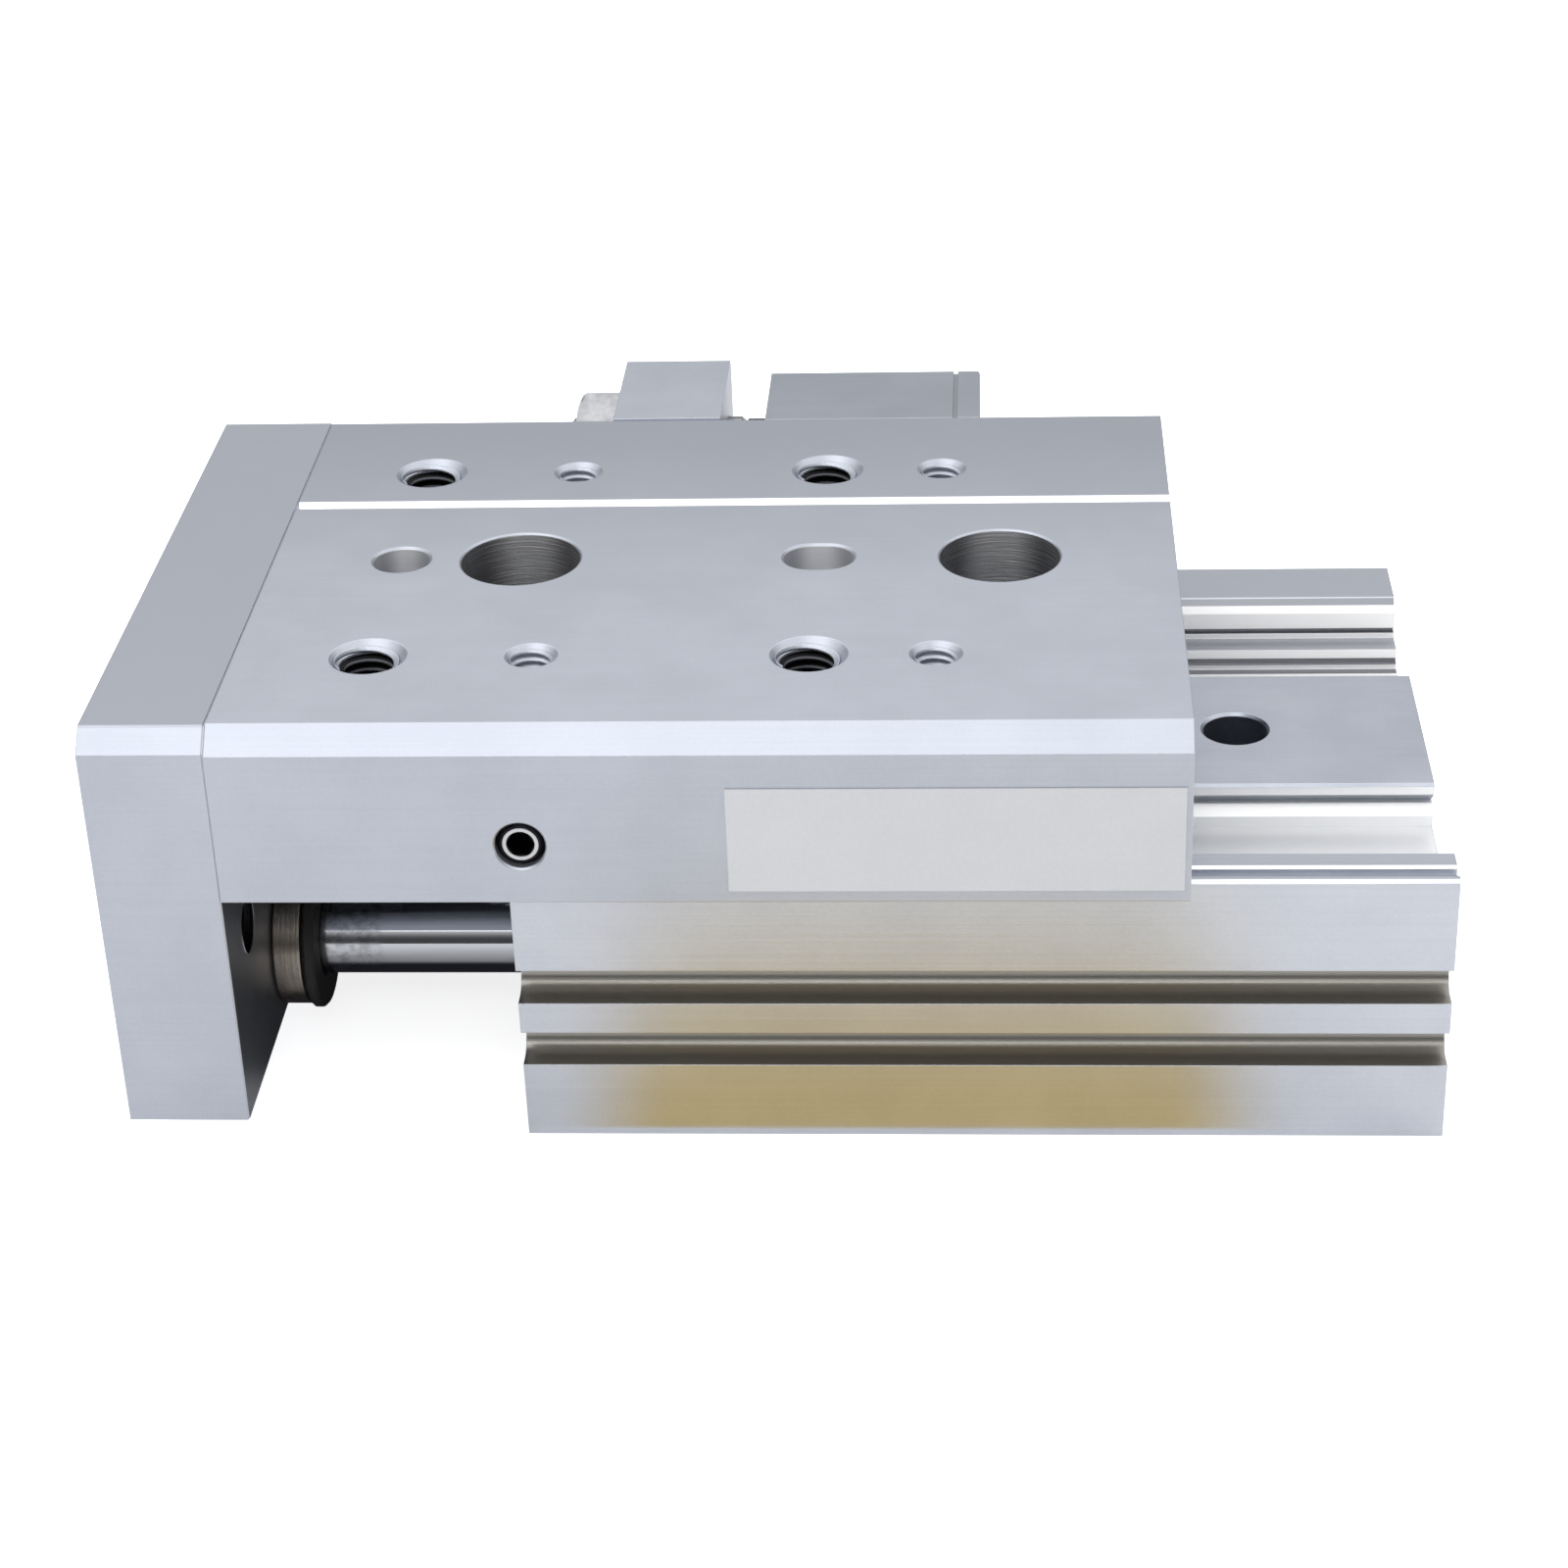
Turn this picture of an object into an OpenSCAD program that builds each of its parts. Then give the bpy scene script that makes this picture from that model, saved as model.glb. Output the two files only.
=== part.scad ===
// Twin cylinder slide table with crossed roller guide and extension stroke adjuster.
// X runs along the stroke with the end plate at -X, Y across, Z up from the mounting face.
// Drawn with the table fully extended; it draws in by the stroke towards +X.

/* [Stroke] */
// Stroke of the table
stroke = 20; // [10:1:30]
// Gap between end plate and body with the table drawn in
home_gap = 7.8; // [6:0.1:12]

/* [Body] */
// Length of the body
body_l = 93.7; // [86:0.1:120]
// Width of the body
body_w = 68.6; // [66:0.1:72]
// Extra width of the body on the side of the ports
port_side_w = 2.7; // [0:0.1:3.4]
// Height of the body at its shoulders
body_h = 30.2; // [29.6:0.1:33]
// Chamfer of the outer shoulder edges
body_edge = 0.4; // [0.2:0.1:0.8]
// Height of the channel floor
floor_z = 23.8; // [23.5:0.1:25]
// Thickness of the body walls beside the channel mouth
side_wall = 6.7; // [5.8:0.1:7]
// Chamfer at the channel mouth
wall_chamfer = 1.4; // [0.3:0.1:2]
// Height of the undercut line in the channel wall
undercut_z = 26.5; // [26.3:0.1:26.8]
// Width and depth of the undercut line
undercut = 0.4; // [0.2:0.1:0.6]
// Height of the inner ledge
ledge_z = 25.9; // [25.5:0.1:26.2]
// Width of the inner ledges beside the channel mouth
ledge_w = 3.4; // [2.6:0.1:4.2]
// Height of the lower step beside the floor
step_z = 24.9; // [24.4:0.1:25.2]
// Width of the lower step
step_w = 0.6; // [0.3:0.1:1]

/* [Sensor grooves] */
// Width of a sensor groove
groove_w = 3.9; // [3.4:0.1:4.2]
// Depth of a sensor groove
groove_d = 3.4; // [2.6:0.1:4]
// Height of the lower groove centre
groove_z = 10.45; // [7:0.05:11]
// Pitch of the two sensor grooves
groove_pitch = 7.4; // [6:0.1:9]
// Distance of the top line groove from the side
line_y = 1; // [0.6:0.1:1.6]
// Width of the top line groove
line_w = 1.8; // [0.8:0.1:2]
// Depth of the top line groove
line_d = 1.1; // [0.6:0.1:1.4]
// Chamfer behind the top line groove
line_chamfer = 0.3; // [0.1:0.1:0.5]

/* [Cylinders] */
// Diameter of each cylinder bore
bore_d = 20; // [16:0.5:20.4]
// Distance between the two bore centres
bore_pitch = 30; // [29.8:0.1:31]
// Height of the bore centres
bore_z = 12.5; // [12.3:0.1:12.9]
// Diameter of the piston rods
rod_d = 8.5; // [8:0.1:11]
// Length of the wrench flats on a rod
flat_l = 8; // [5:0.5:10]
// Width across the wrench flats
flat_af = 7.6; // [7:0.1:7.9]
// Length of a rod cover
cover_l = 12; // [9:0.5:16]
// Outer diameter of a rod seal
seal_d = 14.6; // [13.5:0.1:16]
// Length of a rod seal
seal_l = 4; // [3:0.1:5]
// Depth of the retaining rings below the body ends
ring_depth = 1.5; // [1:0.1:2.5]
// Thickness of the retaining rings
ring_t = 1.1; // [0.8:0.1:1.5]
// Depth of the retaining ring groove in the bore wall
ring_groove = 0.6; // [0.4:0.1:0.7]
// Length of a head cap
cap_l = 8; // [6:0.5:12]
// Depth of the recess in the outer face of a head cap
cap_recess = 2; // [1:0.1:2.6]
// Distance of the O-ring from the inner end of a rod cover
cover_oring_x = 3.9; // [2:0.1:6]
// Section diameter of a rod cover or head cap O-ring
oring_t = 1.5; // [1.2:0.1:1.8]
// Thickness of an end bumper
end_bumper_t = 3; // [2:0.1:5]
// Diameter of an end bumper
end_bumper_d = 14; // [10:0.5:16]
// Length of a piston
piston_l = 16; // [14:0.5:20]
// Distance of the piston seal from the front of the piston
piston_seal_x = 3.2; // [2:0.1:4]
// Distance of the piston magnet from the front of the piston
piston_magnet_x = 9.2; // [8:0.1:10]
// Length of a piston seal
piston_seal_l = 3.4; // [2.6:0.1:4]
// Length of a piston magnet
magnet_l = 4; // [3:0.1:5]
// Depth of the seal and magnet grooves in a piston
piston_groove = 2.4; // [1.6:0.1:3]
// Diameter of the rod spigot in the piston
spigot_d = 6; // [5:0.1:7]
// Diameter of the threads of the ports
port_d = 8.6; // [7:0.1:9]
// Depth of the ports
port_depth = 9; // [7:0.1:9.2]
// Distance of the front port from the front of the body
port_front_x = 29; // [27:0.5:34]
// Distance of the rear port from the rear of the body
port_rear_x = 16; // [15:0.5:18]
// Height of the lower rear face port
port_plug_z = 6.8; // [5.2:0.1:7.4]
// Height of the upper rear face port
port_plug_top = 20.6; // [18:0.1:21.4]
// Length of the port plugs
plug_l = 5.4; // [4:0.1:7]
// Depth of the port plugs below the rear face
plug_sunk = 0.6; // [0.2:0.1:1]
// Key width of the port plugs
plug_key = 4; // [3:0.5:5]
// Diameter of the drilled air passages
passage_d = 3; // [2:0.1:4]

/* [Guide] */
// Width of the guide block
guide_w = 24.8; // [24:0.1:26]
// Height of the guide top above the mounting face
guide_z = 28.8; // [28.6:0.1:30]
// Depth of the seat of the guide in the channel floor
guide_seat = 0.5; // [0.3:0.1:0.6]
// Chamfer of the guide top edges
guide_edge = 0.3; // [0.2:0.05:0.5]
// Height of the roller row centres
vee_z = 26.3; // [26.2:0.05:26.6]
// Diameter of the rollers
roller_d = 2.5; // [2.3:0.05:2.6]
// Length of the rollers
roller_l = 2.4; // [2.1:0.05:2.5]
// Rollers in each row
roller_n = 12; // [6:1:12]
// Gap between guide and rail faces
race_gap = 0.94; // [0.9:0.02:1]
// Height of the relief slot in a raceway
relief_h = 0.5; // [0.3:0.05:0.7]
// Thickness of a roller cage
cage_t = 0.5; // [0.4:0.05:0.6]
// Clearance of a roller cage above the channel floor
cage_low_gap = 0.15; // [0.1:0.05:0.4]
// Distance of a roller cage below the guide top
cage_high_gap = 0.5; // [0.4:0.1:0.8]
// Distance of the cage ends from the guide and table ends with the table out
cage_end_gap = 5.6; // [5:0.1:6]
// Distance of the end rollers from the cage ends
cage_margin = 3.8; // [2:0.1:6]
// Diameter of the cage stop pins
stop_pin_d = 1.8; // [1.4:0.1:2]
// Distance of the cage stop pins from the guide and rail ends
stop_pin_x = 2.6; // [2:0.1:3]
// Distance of the rail ends from the table ends
rail_inset = 1.5; // [0.5:0.1:5]
// Distance of the lower part of the rails from the inner ledges
rail_side_gap = 2.2; // [1.2:0.1:2.8]
// Height of the underside of the rail flanges
flange_z = 27.4; // [27.2:0.1:27.6]
// Distance of the rail undersides from the channel floor
rail_lift = 0.4; // [0.3:0.1:0.8]

/* [Table] */
// Length of the table
table_l = 95; // [92:0.1:110]
// Overhang of the table past each side of the body
table_over = 4.8; // [4.2:0.1:6]
// Height of the table sides
table_h = 18.7; // [17.8:0.1:22]
// Gap between table sides and body shoulders
table_gap = 0.6; // [0.4:0.1:1]
// Chamfer along the upper table edges
table_chamfer = 2.45; // [1:0.05:3]
// Depth of the rail seat in the underside
pocket_d = 2.5; // [2:0.1:3]
// Distance of the rail flanges from the channel walls
pocket_gap = 0.4; // [0.3:0.05:0.6]
// Depth of the bolt head channel above the rail seat
channel_d = 4; // [3:0.1:4.4]
// Half width of the bolt head channel
channel_y = 11.5; // [9:0.1:12]
// Position of the witness groove across the table
witness_y = 14; // [12:0.1:16]
// Depth of the witness groove
witness_d = 0.94; // [0.4:0.02:1.2]
// Distance of the first row of large threads from the front of the table
m6_x = 13.65; // [13:0.05:16]
// Spacing of the large threads along the table
m6_pitch_x = 44.1; // [40:0.1:45]
// Distance of the thread rows from the channel walls
thread_row_in = 5.1; // [4.9:0.05:5.5]
// Outside diameter of the large threads in table and plate
m6_d = 6; // [5.8:0.05:6.2]
// Depth of the large threads
m6_depth = 12; // [9:0.5:13]
// Diameter of the countersinks of the large threads
m6_rim = 7.9; // [6.6:0.1:8]
// Distance of the first row of small threads from the front of the table
m5_x = 30.05; // [29:0.05:32]
// Spacing of the small threads along the table
m5_pitch_x = 40.3; // [38:0.1:42]
// Diameter of the small threads
m5_d = 4.3; // [4.1:0.05:4.4]
// Diameter of the countersinks of the small threads
m5_rim = 5.4; // [5:0.05:6]
// Diameter of the locating hole and width of the locating slot
locate_d = 6; // [5:0.1:6.2]
// Length of the locating slot
locate_slot = 7.4; // [6.6:0.1:8]
// Depth of the locating hole and slot
locate_depth = 5; // [3:0.5:6]
// Chamfer of the locating hole and slot
locate_rim = 0.25; // [0.1:0.05:0.4]
// Diameter of the access holes
access_d = 12.6; // [10.5:0.1:13]
// Chamfer of the access holes
access_rim = 0.2; // [0.15:0.05:0.6]
// Depth of the narrow part of the access holes, above their relief
access_depth = 6.9; // [6:0.1:8]
// How much wider the relief of the access holes is than the holes
access_relief = 2.4; // [1:0.1:4]
// Distance of the first access hole from the front of the table
access_x = 26.3; // [26:0.1:28]
// Spacing of the access holes
access_pitch = 50.4; // [49:0.1:52]
// Height of the side set screw above the mounting face
set_z = 37.1; // [36.4:0.1:38]
// Gap between the side set screw and the rail screw that it locks
set_gap = 1.6; // [0.3:0.1:4]
// Depth of the side set screw below the table side
set_sunk = 0.5; // [0.2:0.1:1]
// Length of the label
label_l = 44.2; // [30:0.1:50]
// Height of the label
label_h = 11.4; // [8:0.1:12]
// Thickness of the label
label_t = 0.15; // [0.1:0.05:0.3]
// Height of the label centre above the mounting face
label_z = 37.75; // [37.6:0.05:38.5]

/* [End plate] */
// Thickness of the end plate
plate_t = 12.4; // [11.8:0.1:16]
// Height of the lower edge of the end plate
plate_z = 4.9; // [3:0.1:5.2]
// Chamfer along the upper end plate edges
plate_chamfer = 2.2; // [1:0.05:3]
// Width of the fine groove where the end plate meets the table
seam_w = 0.15; // [0.1:0.05:0.3]
// Depth of the fine groove where the end plate meets the table
seam_d = 0.12; // [0.05:0.01:0.3]
// Spacing of the plate threads across
plate_pitch_y = 60; // [58:0.1:64]
// Spacing of the plate threads upwards
plate_pitch_z = 17; // [14:0.1:18]
// Height of the lower plate threads
plate_thread_z = 22.7; // [20:0.1:24]
// Spacing of the screws between plate and table
plate_screw_pitch = 18; // [16:0.1:19]
// Height of the screws between plate and table
plate_screw_z = 41; // [40.8:0.1:42]
// Thickness of a rod collar
collar_t = 3.3; // [2:0.1:4]
// Diameter of a rod collar
collar_d = 15; // [13:0.1:19]
// Thickness of a rod bumper
bumper_t = 1.3; // [1:0.1:2.4]
// Diameter of a rod bumper
bumper_d = 15.8; // [13.4:0.1:19]

/* [Adjuster] */
// Distance of the adjuster block from the front of the body
adjuster_x = 4.4; // [3:0.1:6]
// Length of the adjuster block along the stroke
adjuster_l = 12.4; // [12:0.1:15]
// Reach of the adjuster block from the table side
adjuster_out = 19.1; // [18.5:0.1:23]
// Height of the adjuster and stop block tops
adjuster_z = 48.5; // [47.5:0.1:49]
// Height of the adjuster block underside
adjuster_foot_z = 8; // [6:0.1:8.4]
// Wall left between the adjuster block screws and the far bore
adjuster_screw_wall = 2.3; // [1.5:0.1:4]
// Thickness of the adjuster block under its screw heads
adjuster_web = 6.7; // [5:0.1:9]
// Height of the lower adjuster block screw
adjuster_screw_z = 13; // [12.4:0.1:14]
// Spacing of the adjuster block screws
adjuster_screw_pitch = 11; // [10:0.1:11.4]
// Clearance between adjuster block and table side
adjuster_gap = 0.6; // [0.4:0.1:1]
// Distance of the adjuster bolt from the table side
bolt_in = 11.9; // [11:0.1:12.4]
// Height of the adjuster bolt
bolt_z = 39.6; // [39:0.1:41]
// Diameter of the adjuster bolt
bolt_d = 8; // [7:0.5:8.5]
// Length of the adjuster bolt past the block towards the stop
bolt_out = 2.2; // [1.5:0.1:3]
// Length of the adjuster bolt past the lock nut
bolt_tail = 1; // [0.6:0.1:4]
// Length of the adjuster bumper
tip_l = 2.7; // [2:0.1:4]
// Diameter of the adjuster bumper
tip_d = 7.4; // [5:0.1:7.8]
// Diameter of the spigot of the adjuster bumper
tip_spigot_d = 4; // [3:0.1:4.5]
// Length of the spigot of the adjuster bumper
tip_spigot_l = 4; // [3:0.1:6]
// Thickness of the lock nut
nut_t = 5.6; // [4:0.1:6.4]
// Width across flats of the lock nut
nut_af = 13; // [12:0.5:14]
// Gap between adjuster bumper and stop block
stop_gap = 0.3; // [0.3:0.05:0.6]
// Length of the stop block along the stroke
stop_l = 24.7; // [22:0.1:28]
// Width of the stop block
stop_w = 14.9; // [14.9:0.1:18.9]
// Height of the stop block underside
stop_z = 31.2; // [30.9:0.1:31.6]
// Thickness of the stop block under its screw heads
stop_web = 6; // [4.5:0.1:7]
// Distance of the first stop block screw from the front of the stop block
stop_screw_in = 9.8; // [6:0.1:10]
// Spacing of the stop block screws
stop_screw_pitch = 9.5; // [9.4:0.1:10]
// Rounding of the rear corner of the stop block
stop_round = 2; // [1:0.1:3]

/* [Mounting] */
// Spacing of the body mounting holes
mount_pitch = 60; // [58:0.1:62]
// Distance of the rear body mounting hole from the rear of the body
mount_x = 19.75; // [19:0.05:22]
// Diameter of the body mounting holes
mount_d = 6.8; // [6:0.1:7]
// Countersink width of the body mounting holes
mount_rim = 0.3; // [0.2:0.05:0.5]
// Diameter of the locating hole and width of the locating slot underneath
dowel_d = 5; // [4:0.1:5.2]
// Depth of the locating hole and slot underneath
dowel_depth = 4; // [3:0.1:5]
// Distance of the underside locating hole from the rear mounting hole
dowel_x = 10; // [8:0.1:12]
// Spacing of the underside locating hole and slot
dowel_pitch = 40; // [38:0.1:42]

/* [Fits] */
// Radial clearance of running fits and of screws in their threads
run_fit = 0.05; // [0.02:0.01:0.08]
// Radial clearance of screws in plain holes
bolt_fit = 0.3; // [0.2:0.05:0.4]
// Clearance of a roller in its raceways
roller_fit = 0.02; // [0.01:0.01:0.04]

/* [Hidden] */
$fn = 64;

// Small overlap that keeps cuts clean
cut = 0.1;

// Places along the stroke
body_front = -body_l / 2;
body_rear = body_l / 2;
table_front = body_front - home_gap - stroke;
table_rear = table_front + table_l;
plate_front = table_front - plate_t;
mount_rear = body_rear - mount_x;
mount_front = mount_rear - mount_pitch;

// Places across and up
side_y = body_w / 2;
port_side_y = side_y + port_side_w;
wall_y = side_y - side_wall;
ledge_y = wall_y - ledge_w;
rail_y = ledge_y - rail_side_gap;
pocket_y = wall_y - pocket_gap;
table_y = side_y + table_over;
table_z = body_h + table_gap;
top_z = table_z + table_h;
pocket_z = table_z + pocket_d;
channel_z = pocket_z + channel_d;
cyl_y = bore_pitch / 2;
guide_y = guide_w / 2;
guide_floor = floor_z - guide_seat;
row_y = wall_y - thread_row_in;

// Raceways: a square tunnel of roller size turned by 45 degrees
row_centre_y = guide_y + race_gap / 2;
race_y = guide_y + race_gap;
vee_d = roller_d / sqrt(2) - race_gap / 2;
relief_d = 0.4;

// Screws: thread, head diameter, head height, key width
m4 = [4, 7, 4, 3];
m5 = [5, 8.5, 5, 4];
m6 = [6, 10, 6, 5];
m5_low = [5, 8, 3, 3];
head_gap = 0.4;

// Guide screws from below
guide_screw_in = 5;
guide_screw_near = 20;
guide_screw_x = [
    body_front + guide_screw_in, mount_front + guide_screw_near,
    mount_rear - guide_screw_near, body_rear - guide_screw_in
];
guide_screw_l = 20;
guide_screw_grip = 5;
guide_screw_seat = guide_floor + guide_screw_grip - guide_screw_l;

// Screws between plate and table, and between plate and rods
plate_screw_grip = 9;
plate_seat_m5 = plate_front + m5[2] + head_gap;
plate_seat_m6 = plate_front + m6[2] + head_gap;
rod_thread = 11;

// Rail screws from below
rail_seat_z = flange_z + m5_low[2] + 2 * run_fit + head_gap;
rail_screw_l = 12;
rail_screw_tip = rail_seat_z + rail_screw_l;
rail_front = table_front + rail_inset;
rail_rear = table_rear - rail_inset;
rail_l = rail_rear - rail_front;
rail_screw_x = [table_front + m5_x, table_front + m5_x + m5_pitch_x];
set_l = table_y - set_sunk - row_y - m5[0] / 2 - set_gap;

// Cylinder stack, front and rear
cover_front = body_front + ring_depth + ring_t;
cap_rear = body_rear - ring_depth - ring_t;
cap_front = cap_rear - cap_l;
bumper_front = cap_front - end_bumper_t;
piston_home_gap = 0.3;
piston_rear = bumper_front - piston_home_gap - stroke;
piston_front = piston_rear - piston_l;

// Adjuster and stop
adjuster_y = table_y + adjuster_out;
bolt_y = table_y + bolt_in;
stop_y = table_y + stop_w;
adj_front = body_front + adjuster_x;
adj_rear = adj_front + adjuster_l;
tip_front = adj_rear + bolt_out;
stop_front = tip_front + tip_l + stop_gap;
adj_screw_grip = port_side_y - cyl_y - bore_d / 2 - adjuster_screw_wall;
stop_screw_grip = 7;
adj_seat_y = port_side_y + adjuster_web;
adj_screw_z = [adjuster_screw_z, adjuster_screw_z + adjuster_screw_pitch];
stop_seat_y = table_y + stop_web;
stop_screw_x = [stop_front + stop_screw_in, stop_front + stop_screw_in + stop_screw_pitch];
stop_screw_z = 36.5;

// Cages sit midway over the overlap of body and table
cage_x = (body_front + table_rear) / 2;
cage_l = table_rear - body_front - 2 * cage_end_gap;
roller_pitch = (cage_l - 2 * cage_margin) / (roller_n - 1);
cage_low = floor_z + cage_low_gap;
cage_high = guide_z - cage_high_gap;

silver = [0.74, 0.76, 0.79];
steel = [0.66, 0.68, 0.71];
bright = [0.84, 0.85, 0.87];
dark = [0.13, 0.13, 0.14];
rubber = [0.06, 0.06, 0.06];
brass = [0.78, 0.66, 0.36];
resin = [0.2, 0.21, 0.22];
nickel = [0.8, 0.8, 0.78];

// Turns a Y-Z outline into a bar along X, starting at x and l long
module bar(x, l) {
    translate([x, 0, 0]) rotate([90, 0, 90]) linear_extrude(l) children();
}

// Round stock along X from x, l long, with equal chamfers at both ends
module round_x(x, l, d, edge = 0) {
    r = d / 2;
    translate([x, 0, 0]) rotate([0, 90, 0]) rotate_extrude()
        polygon([[0, 0], [r - edge, 0], [r, edge], [r, l - edge], [r - edge, l], [0, l]]);
}

// Ring along X from x, l long
module ring_x(x, l, outer_d, inner_d, edge = 0) {
    r = outer_d / 2;
    i = inner_d / 2;
    translate([x, 0, 0]) rotate([0, 90, 0]) rotate_extrude()
        polygon([
            [i + edge, 0], [r - edge, 0], [r, edge], [r, l - edge], [r - edge, l],
            [i + edge, l], [i, l - edge], [i, edge]
        ]);
}

// Puts its children on both cylinder axes
module both_cylinders() {
    for (side = [-1, 1]) on_cylinder(side) children();
}

module on_cylinder(side) {
    translate([0, side * cyl_y, bore_z]) children();
}

// Socket head screw with its seat at z = 0, head up, shank down
module cap_screw(size, l) {
    r = size[0] / 2 - run_fit;
    head_r = size[1] / 2;
    head_h = size[2];
    edge = 0.4;
    socket_depth = head_h * 0.5;
    difference() {
        rotate_extrude() polygon([
            [0, -l], [r - edge, -l], [r, edge - l], [r, 0], [head_r, 0],
            [head_r, head_h - edge], [head_r - edge, head_h], [0, head_h]
        ]);
        translate([0, 0, head_h - socket_depth])
            cylinder(d = size[3] / cos(30), h = socket_depth + cut, $fn = 6);
    }
}

// Countersunk blind hole, mouth at z = 0, going down
module mouth_hole(d, depth, rim_d) {
    rim = (rim_d - d) / 2;
    translate([0, 0, -depth]) cylinder(d = d, h = depth + cut);
    translate([0, 0, -rim]) cylinder(d1 = d, d2 = rim_d + 2 * cut, h = rim + cut);
}

// ---- Body ----

// Channel outline on one side, from the floor outwards to the mouth
function channel_side() = [
    [guide_y, guide_floor], [guide_y, floor_z],
    [ledge_y - step_w, floor_z], [ledge_y - step_w, step_z - undercut], [ledge_y, step_z - undercut],
    [ledge_y, ledge_z], [wall_y - undercut, ledge_z], [wall_y - undercut, undercut_z],
    [wall_y + undercut, undercut_z], [wall_y + undercut, undercut_z + undercut],
    [wall_y, undercut_z + undercut], [wall_y, body_h - wall_chamfer],
    [wall_y + wall_chamfer, body_h], [wall_y + wall_chamfer, body_h + cut]
];

function mirrored(points) = [for (i = [len(points) - 1 : -1 : 0]) [-points[i][0], points[i][1]]];

module body_outline() {
    difference() {
        polygon([
            [-side_y, 0], [port_side_y, 0], [port_side_y, body_h - body_edge],
            [port_side_y - body_edge, body_h],
            [-side_y + body_edge, body_h], [-side_y, body_h - body_edge]
        ]);
        polygon(concat(mirrored(channel_side()), channel_side()));
        for (z = [groove_z, groove_z + groove_pitch]) sensor_groove(z);
        translate([-side_y + line_y, body_h - line_d]) polygon([
            [0, 0], [line_w, 0], [line_w, line_d - line_chamfer],
            [line_w + line_chamfer, line_d], [line_w + line_chamfer, line_d + cut], [0, line_d + cut]
        ]);
    }
}

module sensor_groove(z) {
    r = groove_w / 2;
    translate([-side_y + groove_d - r, z]) circle(d = groove_w);
    translate([-side_y - cut, z - r]) square([groove_d - r + cut, groove_w]);
}

module body() {
    front_x = body_front + port_front_x;
    rear_x = body_rear - port_rear_x;
    color(silver) difference() {
        bar(body_front, body_l) body_outline();
        both_cylinders() {
            round_x(body_front - cut, body_l + 2 * cut, bore_d);
            round_x(cover_front - ring_t, ring_t, bore_d + 2 * ring_groove);
            round_x(cap_rear, ring_t, bore_d + 2 * ring_groove);
        }
        for (x = [mount_front, mount_rear])
            translate([x, 0, -cut]) cylinder(d = mount_d, h = body_h);
        for (x = guide_screw_x) translate([x, 0, 0]) {
            translate([0, 0, -cut]) cylinder(d = m4[0] + 2 * bolt_fit, h = body_h);
            translate([0, 0, -cut]) cylinder(d = m4[1] + head_gap, h = guide_screw_seat + cut);
        }
        translate([mount_rear - dowel_x, 0, -cut]) cylinder(d = dowel_d, h = dowel_depth + cut);
        translate([mount_rear - dowel_x - dowel_pitch, 0, -cut]) base_slot();
        for (x = [front_x, rear_x]) translate([x, 0, bore_z]) {
            translate([0, port_side_y, 0]) rotate([-90, 0, 0])
                mouth_hole(port_d, port_depth, port_d + 1);
            translate([0, -cyl_y, 0]) rotate([-90, 0, 0]) cylinder(d = passage_d, h = side_y + cyl_y);
        }
        for (z = rear_port_z) translate([body_rear, rear_port_y, z]) rotate([0, 90, 0])
            mouth_hole(port_d, port_depth, port_d + 1);
        for (z = adj_screw_z) translate([(adj_front + adj_rear) / 2, port_side_y - adj_screw_grip, z])
            rotate([-90, 0, 0]) cylinder(d = m5[0], h = adj_screw_grip + cut);
    }
}

// Locating slot underneath, long along the stroke
module base_slot() {
    half = 1;
    for (dx = [-half, half]) translate([dx, 0, 0]) cylinder(d = dowel_d, h = dowel_depth + cut);
    translate([-half, -dowel_d / 2, 0]) cube([2 * half, dowel_d, dowel_depth + cut]);
}

// Two more ports open at the rear face beside the far bore
rear_port_z = [port_plug_z, port_plug_top];
rear_port_y = cyl_y + (bore_d + port_d) / 2;

module port_plugs() {
    key_depth = 0.55 * plug_l;
    color(dark) for (z = rear_port_z)
        translate([body_rear - plug_sunk, rear_port_y, z]) rotate([0, 90, 0]) difference() {
            translate([0, 0, -plug_l]) cylinder(d = port_d - 2 * run_fit, h = plug_l);
            translate([0, 0, -key_depth]) cylinder(d = plug_key / cos(30), h = key_depth + cut, $fn = 6);
        }
}

// ---- Guide ----

// Raceway groove seen along X, its face at y = 0 and its point towards +Y
module vee_cut() {
    half = relief_h / 2;
    polygon([
        [-cut, vee_d + cut], [vee_d - half, half], [vee_d + relief_d, half],
        [vee_d + relief_d, -half], [vee_d - half, -half], [-cut, -vee_d - cut]
    ]);
}

module guide_block() {
    color(steel) difference() {
        bar(body_front, body_l) difference() {
            polygon([
                [-guide_y, guide_floor], [guide_y, guide_floor],
                [guide_y, guide_z - guide_edge], [guide_y - guide_edge, guide_z],
                [guide_edge - guide_y, guide_z], [-guide_y, guide_z - guide_edge]
            ]);
            translate([-guide_y, vee_z]) vee_cut();
            translate([guide_y, vee_z]) mirror([1, 0]) vee_cut();
        }
        for (x = [mount_front, mount_rear]) translate([x, 0, guide_z])
            mouth_hole(mount_d, guide_z, mount_d + 2 * mount_rim);
        for (x = guide_screw_x) translate([x, 0, guide_floor - cut])
            cylinder(d = m4[0], h = guide_screw_grip + cut);
        for (side = [-1, 1]) cage_stop_at(side, body_front + stop_pin_x, guide_y) stop_hole();
    }
}

module guide_screws() {
    color(dark) for (x = guide_screw_x) translate([x, 0, guide_screw_seat])
        rotate([180, 0, 0]) cap_screw(m4, guide_screw_l - run_fit);
}

// Cage stop pins: short pins across the raceway, sunk in guide or rail
stop_sunk = 3;
stop_out = race_gap - 0.2;

module cage_stop_at(side, x, y) {
    translate([x, side * y, vee_z]) rotate([-90 * side, 0, 0]) children();
}

module stop_hole() {
    translate([0, 0, -stop_sunk]) cylinder(d = stop_pin_d, h = stop_sunk + cut);
}

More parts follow.
